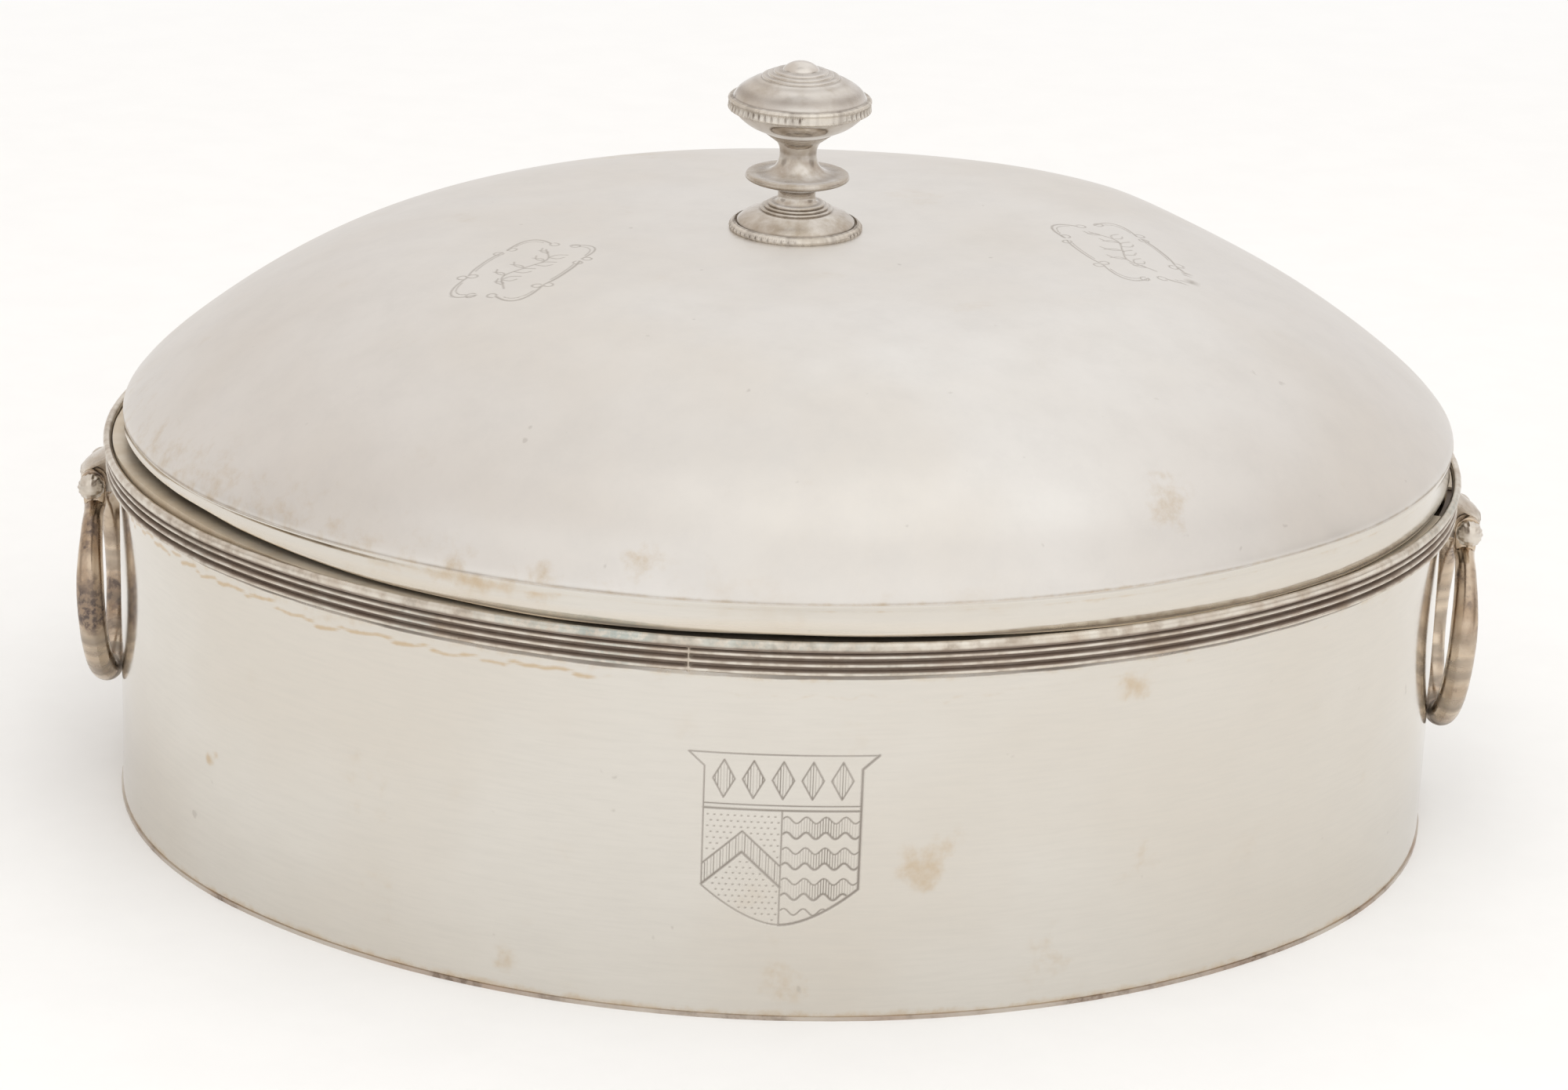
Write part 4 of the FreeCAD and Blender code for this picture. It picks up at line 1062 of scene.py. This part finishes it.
def make_head():
    """The knob's head: bowl, stamped band, cap with three mouldings, and button."""
    bowl = curve([(11.6, 33.4), (14.2, 34.6), (17.4, 36.2), (20.0, 38.2), (21.8, 40.0), (22.6, 41.0)], 26)
    turned_piece("bowl_turning", [(0, 33.4), *bowl, (22.6, 43.3), (0, 43.3)], 128, "knob_bowl", [
        (11.7, 33.5, 0.35, 0.5), (22.5, 41.0, 0.35, 0.6), (17.4, 36.2, 0.25, 0.2),
    ], 0.36)
    strip = curve([
        (22.7, 41.0), (23.8, 41.2), (24.35, 41.7), (24.25, 42.3), (24.2, 44.2), (24.35, 44.8), (23.8, 45.4),
        (22.7, 45.6),
    ], 36)
    stamped_ring("knob_band_ring", [*strip, (22.6, 45.6), (22.6, 41.0)], 868,
                 stamps(62, 43.1, 1.3, ((FRONT + 0.36, 0.27),)), 0.55, 23.3, "knob_band")
    cap = curve([(22.6, 45.4), (22.0, 46.5), (20.7, 48.1), (18.6, 49.7), (16.0, 51.1), (13.3, 52.1)], 28)
    cap = [(0, 43.3), (22.6, 43.3), *cap, *stepped(13.1, 52.1, 1.95, 0.83, 3), (7.3, 54.6), (0, 54.6)]
    # the broad marks on the cap's shoulder and beside its mouldings are a painted reflection of a dark room;
    # the narrow ones darken the hollows
    turned_piece("cap_turning", cap, 128, "knob_cap", [
        (22.55, 45.6, 0.45, 0.8), (20.6, 48.1, 2.0, 0.62), (15.4, 51.3, 1.1, 0.35), (13.3, 52.1, 0.32, 0.75),
        (11.3, 52.95, 0.26, 0.7), (9.3, 53.8, 0.26, 0.7), (7.3, 54.6, 0.35, 0.6),
    ], 0.30)
    button = curve([(6.1, 54.65), (6.0, 55.2), (5.2, 56.1), (3.8, 57.0), (2.0, 57.6), (0.0, 57.8)], 20)
    turned_piece("button_turning", [(0, 54.6), (6.1, 54.6), *button], 80, "knob_button",
                 [(6.1, 54.7, 0.35, 0.5)], 0.15)


# The handles

PIN_OFF_WALL, PIN_LEVEL = 9.0, 106.0
PIN_OUT = HALF_LONG + PIN_OFF_WALL
PIN_RADIUS = 2.0
# where the rings' eyes lie along the pin, and how far the pin's ball and the riveted one sit
EYE_MIDDLE, BALL_SEAT = 8.5, 10.9


def turned_about(points, sign):
    """Points of the right-hand handle, or the same turned half round for the left."""
    return points * np.array([sign, sign, 1])


def make_pins():
    """Pins with a hammered ball at one end and a riveted ball at the other, through the lugs
    and the eyes of the rings."""
    bulge, ball, grip, clearance = 3.5, 4.65, 2.4, 0.03
    middle = BALL_SEAT + bulge
    start = -math.asin(bulge / ball)
    round_ball = [
        (ball * math.cos(angle), middle + ball * math.sin(angle))
        for angle in np.linspace(start, math.pi / 2, 22)[:-1]
    ]
    top = middle + ball
    foot, bore = -BALL_SEAT - grip, PIN_RADIUS + clearance
    pin = [(0, foot), (PIN_RADIUS, foot), (PIN_RADIUS, 0), (PIN_RADIUS, BALL_SEAT), *round_ball, (0, top)]
    grid = lathe(pin, 48, (0, 0, 0))
    hammered = 0.12 * np.sin(grid[..., 0] * 1.7 + 1) * np.sin(grid[..., 1] * 1.9)
    grid[..., :2] *= (1 - np.abs(hammered * (grid[..., 2] > BALL_SEAT + 0.5)))[..., None]
    rivet = [(bore, BALL_SEAT + grip), (bore, BALL_SEAT), *round_ball, (0.4, top), (0.4, BALL_SEAT + 2.45)]
    # the turned axis lies along Y: the pin's own ball at the front, the riveted one at the back
    for name, node, part, way in (
        ("pin_turnings", "hinge_pins", capped_part(grid), -1),
        ("ball_turnings", "pin_balls", ring_part(lathe(rivet, 48, (0, 0, 0))), 1),
    ):
        points, faces = part
        lying = np.stack([points[:, 0] + PIN_OUT, way * points[:, 2], points[:, 1] + PIN_LEVEL], -1)
        pair = [facing_out(lying * np.array([sign, 1, 1]), faces) for sign in (1, -1)]
        count = 2 * len(points)
        add_piece(name, pair, silver_dark, "tub", node,
                  {"ink": np.zeros(count), "stain": np.full(count, 0.35)}, sharp=50)


def lug_web():
    """The lug's web: its outline in (out from the wall, height), rounded from front to back."""
    eye = 5.0
    round_pin = [
        (PIN_OFF_WALL + eye * math.cos(angle), PIN_LEVEL + eye * math.sin(angle))
        for angle in np.radians(np.linspace(-100, 5, 10))
    ]
    outline = [(-0.1, 99.9), (1.2, 100.6), (3.6, 101.3), *round_pin]
    outline += [(14.1, 107.8), (12.6, 109.4), (8.0, 112.0), (3.4, 115.4), (-0.1, 116.6)]
    outline = soften_loop(outline, 0.8)
    pull = outline - outline.mean(0)
    pull /= np.linalg.norm(pull, axis=1, keepdims=True)
    on_wall = outline[:, 0] < 0.5
    rows = []
    half = [(0.0, 0), (4.8, 0), (5.6, 0.154), (6.0, 0.44)]
    for depth, inset in [(-depth, inset) for depth, inset in half[:0:-1]] + half:
        shape = outline - pull * inset
        shape[on_wall, 0] = outline[on_wall, 0]
        wall_x, _ = plan(np.array([math.asin(depth / END_RADIUS)]))
        rows.append(np.stack([shape[:, 0] + wall_x[0], np.full(len(shape), depth), shape[:, 1]], -1))
    return tube_part(np.array(rows))


def lug_hood():
    """The lug's hood: a curved leaf from the band down over the pin."""
    under = band_low[2]
    along = np.linspace(0, 1, 15)
    spread = np.linspace(-1, 1, 17)
    spine = curve([
        (0.4, under - 0.15), (3.2, under - 0.7), (7.8, under - 2.8), (12.2, under - 5.6), (14.5, under - 8.2),
    ], 15)
    width = np.interp(along, [0, 0.25, 0.6, 0.85, 1.0], [11.5, 10.8, 8.4, 6.2, 3.2])
    side_edge = width[:, None] * spread
    wall_x, _ = plan(np.arcsin(side_edge / END_RADIUS))
    drop = 1.7 * spread ** 2 * np.minimum(1, 0.25 + along)[:, None]
    skins = []
    for thick in (0.0, 1.15):
        # the leaf's tip is thinner, and its root goes straight down
        fall = np.where(along < 1, 0.95, 0.6)[:, None] * thick
        back = np.where(along > 0, 0.35, 0.0)[:, None] * thick
        out = spine[:, :1] - back
        skins.append(np.stack([wall_x + out, side_edge, spine[:, 1:] - drop - fall], -1))
    top, low = skins
    return tube_part(np.concatenate([top, low[:, ::-1]], 1))


def make_lug(side, sign):
    """Cast bracket: a rounded web round the pin and a leaf-like hood over the joint."""
    parts = [(turned_about(points, sign), faces) for points, faces in (lug_web(), lug_hood())]
    height = np.concatenate([points[:, 2] for points, _ in parts])
    marks = {"ink": unit(1 - (height - 99.8) / 6.0) * 0.5, "stain": np.full(len(height), 0.4)}
    add_piece(f"lug_casting_{side}", parts, silver_dark, "tub", f"handle_lug_{side}",
              marks, sharp=45)


def make_ring(side, sign):
    """Drop ring: a round rod that flattens into an eye at each end."""
    hoop, neck, rod, sides, rest_gap = 31.5, 7.0, 4.4, 28, 0.3
    drop = hoop + neck
    # the rod's middle line as (across, height under the pin)
    angles = np.radians(np.linspace(-163, 163, 121))
    path = np.stack([hoop * np.sin(angles), -drop - hoop * np.cos(angles)], -1)
    stop_across, stop = path[-1]
    rise = np.array([
        (stop_across * 0.6 + EYE_MIDDLE * 0.4, stop + 1.6), (EYE_MIDDLE, stop + 3.6), (EYE_MIDDLE, -3.4),
        (EYE_MIDDLE, -2.6),
    ])
    path = np.concatenate([rise[::-1] * np.array([-1, 1]), path, rise])
    way = np.gradient(path, axis=0)
    way /= np.linalg.norm(way, axis=1, keepdims=True)
    travelled = np.concatenate([[0], np.cumsum(np.linalg.norm(np.diff(path, axis=0), axis=1))])
    from_end = np.minimum(travelled, travelled[-1] - travelled)
    in_plane = np.interp(from_end, [0, 3, 8, 16], [1.95, 2.15, 3.2, rod])
    in_plane *= 1.07 - 0.04 * hump(from_end - 70, 12)
    broad = np.interp(from_end, [0, 4, 10, 18, 34], [4.1, 3.9, 3.35, 3.7, rod])
    fuller = 0.35 * unit((from_end - 20) / 20)
    round_rod = np.arange(sides) * 2 * math.pi / sides
    offset = in_plane[:, None] * np.cos(round_rod)
    parts = [tube_part(np.stack([
        broad[:, None] * np.sin(round_rod) + fuller[:, None] * (1 + np.sin(round_rod)),
        path[:, :1] - way[:, 1:] * offset,
        path[:, 1:] + way[:, :1] * offset,
    ], -1))]
    bore = PIN_RADIUS + 0.07
    eye = soften_loop([(bore, -2.2), (rod, -2.2), (rod, 2.2), (bore, 2.2)], 0.5)
    points, faces = ring_part(lathe(eye, 40, (0, 0, 0)))
    for end in (1, -1):
        parts.append((np.stack([points[:, 0], end * (EYE_MIDDLE + points[:, 2]), points[:, 1]], -1), faces))
    # it hangs with its foot just off the wall
    lean = math.asin((PIN_OFF_WALL - rod - rest_gap) / (drop + hoop))
    placed = []
    for points, faces in parts:
        x = points[:, 0] * math.cos(lean) + points[:, 2] * math.sin(lean) + PIN_OUT
        z = points[:, 2] * math.cos(lean) - points[:, 0] * math.sin(lean) + PIN_LEVEL
        placed.append(facing_out(turned_about(np.stack([x, points[:, 1], z], -1), sign), faces))
    points = np.concatenate([part[0] for part in placed])
    height = points[:, 2]
    round_hoop = np.arctan2(height - PIN_LEVEL + drop, points[:, 1] * sign)
    mottle = 0.30 + 0.45 * wave(round_hoop * 9.0, 55) + 0.25 * wave(height * 0.9, 56)
    ink = unit((PIN_LEVEL - 22 - height) / 18) * np.clip(mottle, 0, 0.75)
    add_piece(f"drop_ring_rod_{side}", placed, ring_metal, f"ring_{side}", f"drop_ring_{side}",
              {"stain": np.full(len(points), 0.25), "ink": ink}, sharp=50)


SHIELD = shield_strokes()
SCROLLS = frame_strokes()
make_wall()
make_band()
make_wire()
make_pan()
make_dome()
make_bezel()
make_foot()
make_stem()
make_head()
make_pins()
for handle_side, handle_sign in (("right", 1), ("left", -1)):
    make_lug(handle_side, handle_sign)
    make_ring(handle_side, handle_sign)

# the dome is too worn to mirror the upper knob: only its foot is seen there
for name in ("stem_turning", "bowl_turning", "knob_band_ring", "cap_turning", "button_turning"):
    bpy.data.objects[name].visible_glossy = False


# Floor, light and camera

def make_floor():
    """A wide pale floor."""
    half = 6.0
    mesh = bpy.data.meshes.new("floor")
    corners = [(-half, -half, 0), (half, -half, 0), (half, half, 0), (-half, half, 0)]
    mesh.from_pydata(corners, [], [(0, 1, 2, 3)])
    floor = bpy.data.objects.new("floor", mesh)
    bpy.context.scene.collection.objects.link(floor)
    material = bpy.data.materials.new("floor_paper")
    nodes = Nodes(material)
    where = nodes.put("TexCoord").outputs["Object"]
    grain = nodes.noise(where, 30.0, 4.0, 0.6)
    tone = nodes.blend(nodes.band(grain, 0.3, 0.7), (0.93, 0.93, 0.925), (0.945, 0.945, 0.94))
    shader = nodes.put("BsdfPrincipled", {"Base Color": tone, "Roughness": 0.9, "Specular IOR Level": 0.1})
    # far from the dish the floor runs into the white behind it
    distance = nodes.put("VectorMath", {0: where}, operation="LENGTH").outputs["Value"]
    path = nodes.put("LightPath")
    seen = nodes.math("MAXIMUM", path.outputs["Is Camera Ray"], path.outputs["Is Glossy Ray"])
    white = nodes.put("Emission", {"Color": (1.0, 1.0, 1.0, 1.0), "Strength": 1.0})
    mixed = nodes.put("MixShader", {
        0: nodes.times(nodes.band(distance, 0.7, 2.2), seen),
        1: shader.outputs["BSDF"], 2: white.outputs["Emission"],
    })
    nodes.put("OutputMaterial", {"Surface": mixed.outputs["Shader"]})
    mesh.materials.append(material)


def make_world():
    """White behind the dish; a soft room for its reflections, a little greyer low down and at
    its sides."""
    world = bpy.data.worlds.new("studio")
    bpy.context.scene.world = world
    nodes = Nodes(world)
    way = nodes.put("TexCoord").outputs["Generated"]
    parts = nodes.put("SeparateXYZ", {"Vector": way})
    across, ahead, rise = (parts.outputs[axis] for axis in "XYZ")
    room = nodes.blend(nodes.band(rise, 0.0, 0.7), (1.07, 1.055, 1.037), (1.085, 1.075, 1.06))
    low_back = nodes.times(nodes.band(ahead, 0.2, 0.9), nodes.band(rise, 0.60, 0.25))
    left = nodes.plus(nodes.band(across, -0.06, -0.30, 0.0, 0.6), nodes.band(across, -0.3, -0.95, 0.0, 0.4))
    left = nodes.times(left, nodes.band(rise, 0.05, 0.45))
    right = nodes.times(nodes.band(across, 0.18, 0.85, 0.0, 0.9), nodes.band(rise, 0.0, 0.15))
    # dark ends of the room, and the dark mount of the lamp overhead, for the polished knob
    ends = nodes.band(nodes.math("ABSOLUTE", across), 0.90, 0.98, 0.0, 0.75)
    mount = nodes.band(rise, 0.94, 0.995, 0.0, 0.45)
    # a wide soft window in front, high on the right
    toward = nodes.put("VectorMath", {0: way, 1: (0.27, -0.50, 0.82)}, operation="DOT_PRODUCT")
    window = nodes.band(toward.outputs["Value"], 0.62, 0.98)
    # only the reflections see the room
    seen = nodes.put("LightPath").outputs["Is Camera Ray"]
    for share, tone in (
        (low_back, (0.87, 0.845, 0.83)), (left, (0.84, 0.79, 0.75)), (right, (0.87, 0.825, 0.79)),
        (ends, (0.42, 0.38, 0.35)), (mount, (0.40, 0.38, 0.37)), (window, (1.20, 1.19, 1.17)),
        (seen, (1.0, 1.0, 1.0)),
    ):
        room = nodes.blend(share, room, tone)
    light = nodes.put("Background", {"Color": room, "Strength": 1.0})
    nodes.put("OutputWorld", {"Surface": light.outputs["Background"]})


def add_light(name, place, aim, width, height, power):
    """A soft lamp. The room gives the reflections; the lamps light the floor and its shadow."""
    lamp = bpy.data.lights.new(name, "AREA")
    lamp.shape = "RECTANGLE"
    lamp.size = width
    lamp.size_y = height
    lamp.energy = power
    thing = bpy.data.objects.new(name, lamp)
    bpy.context.scene.collection.objects.link(thing)
    thing.location = place
    thing.rotation_euler = (Vector(aim) - Vector(place)).to_track_quat("-Z", "Y").to_euler()
    thing.visible_glossy = False


def make_camera():
    """The photograph's camera, found from the rims, the foot and the knob."""
    distance, height, aim_x, aim_z = 1557.874, 0.348662, 1.5748, 88.1205
    azimuth, roll = -0.0076117, 0.0367145
    # focal length in pixels of a photograph 2000 pixels wide, and a sensor 36 mm wide
    focal_pixels, photo_pixels, sensor = 5694.426, 2000, 36
    flat = math.cos(height)
    back = Vector((math.sin(azimuth) * flat, -math.cos(azimuth) * flat, math.sin(height)))
    right = Vector((math.cos(azimuth), math.sin(azimuth), 0))
    up = back.cross(right)
    turned_right = math.cos(roll) * right + math.sin(roll) * up
    turned_up = math.cos(roll) * up - math.sin(roll) * right
    data = bpy.data.cameras.new("camera")
    data.lens = focal_pixels / photo_pixels * sensor
    data.sensor_width = sensor
    data.clip_start = 0.05
    data.clip_end = 60
    camera = bpy.data.objects.new("camera", data)
    bpy.context.scene.collection.objects.link(camera)
    matrix = Matrix((turned_right, turned_up, back)).transposed().to_4x4()
    matrix.translation = (Vector((aim_x, 0, aim_z)) + back * distance) * MM
    camera.matrix_world = matrix
    bpy.context.scene.camera = camera


make_floor()
make_world()
add_light("overhead", (0.1, -0.5, 1.5), (0, 0, 0.1), 1.4, 0.9, 3.1)
add_light("front_left", (-0.9, -1.3, 0.8), (-0.1, -0.35, 0), 0.9, 0.6, 0.5)
add_light("front_right", (0.9, -1.3, 0.8), (0.1, -0.35, 0), 0.9, 0.6, 2.0)
make_camera()
bpy.context.scene.view_settings.view_transform = "Standard"
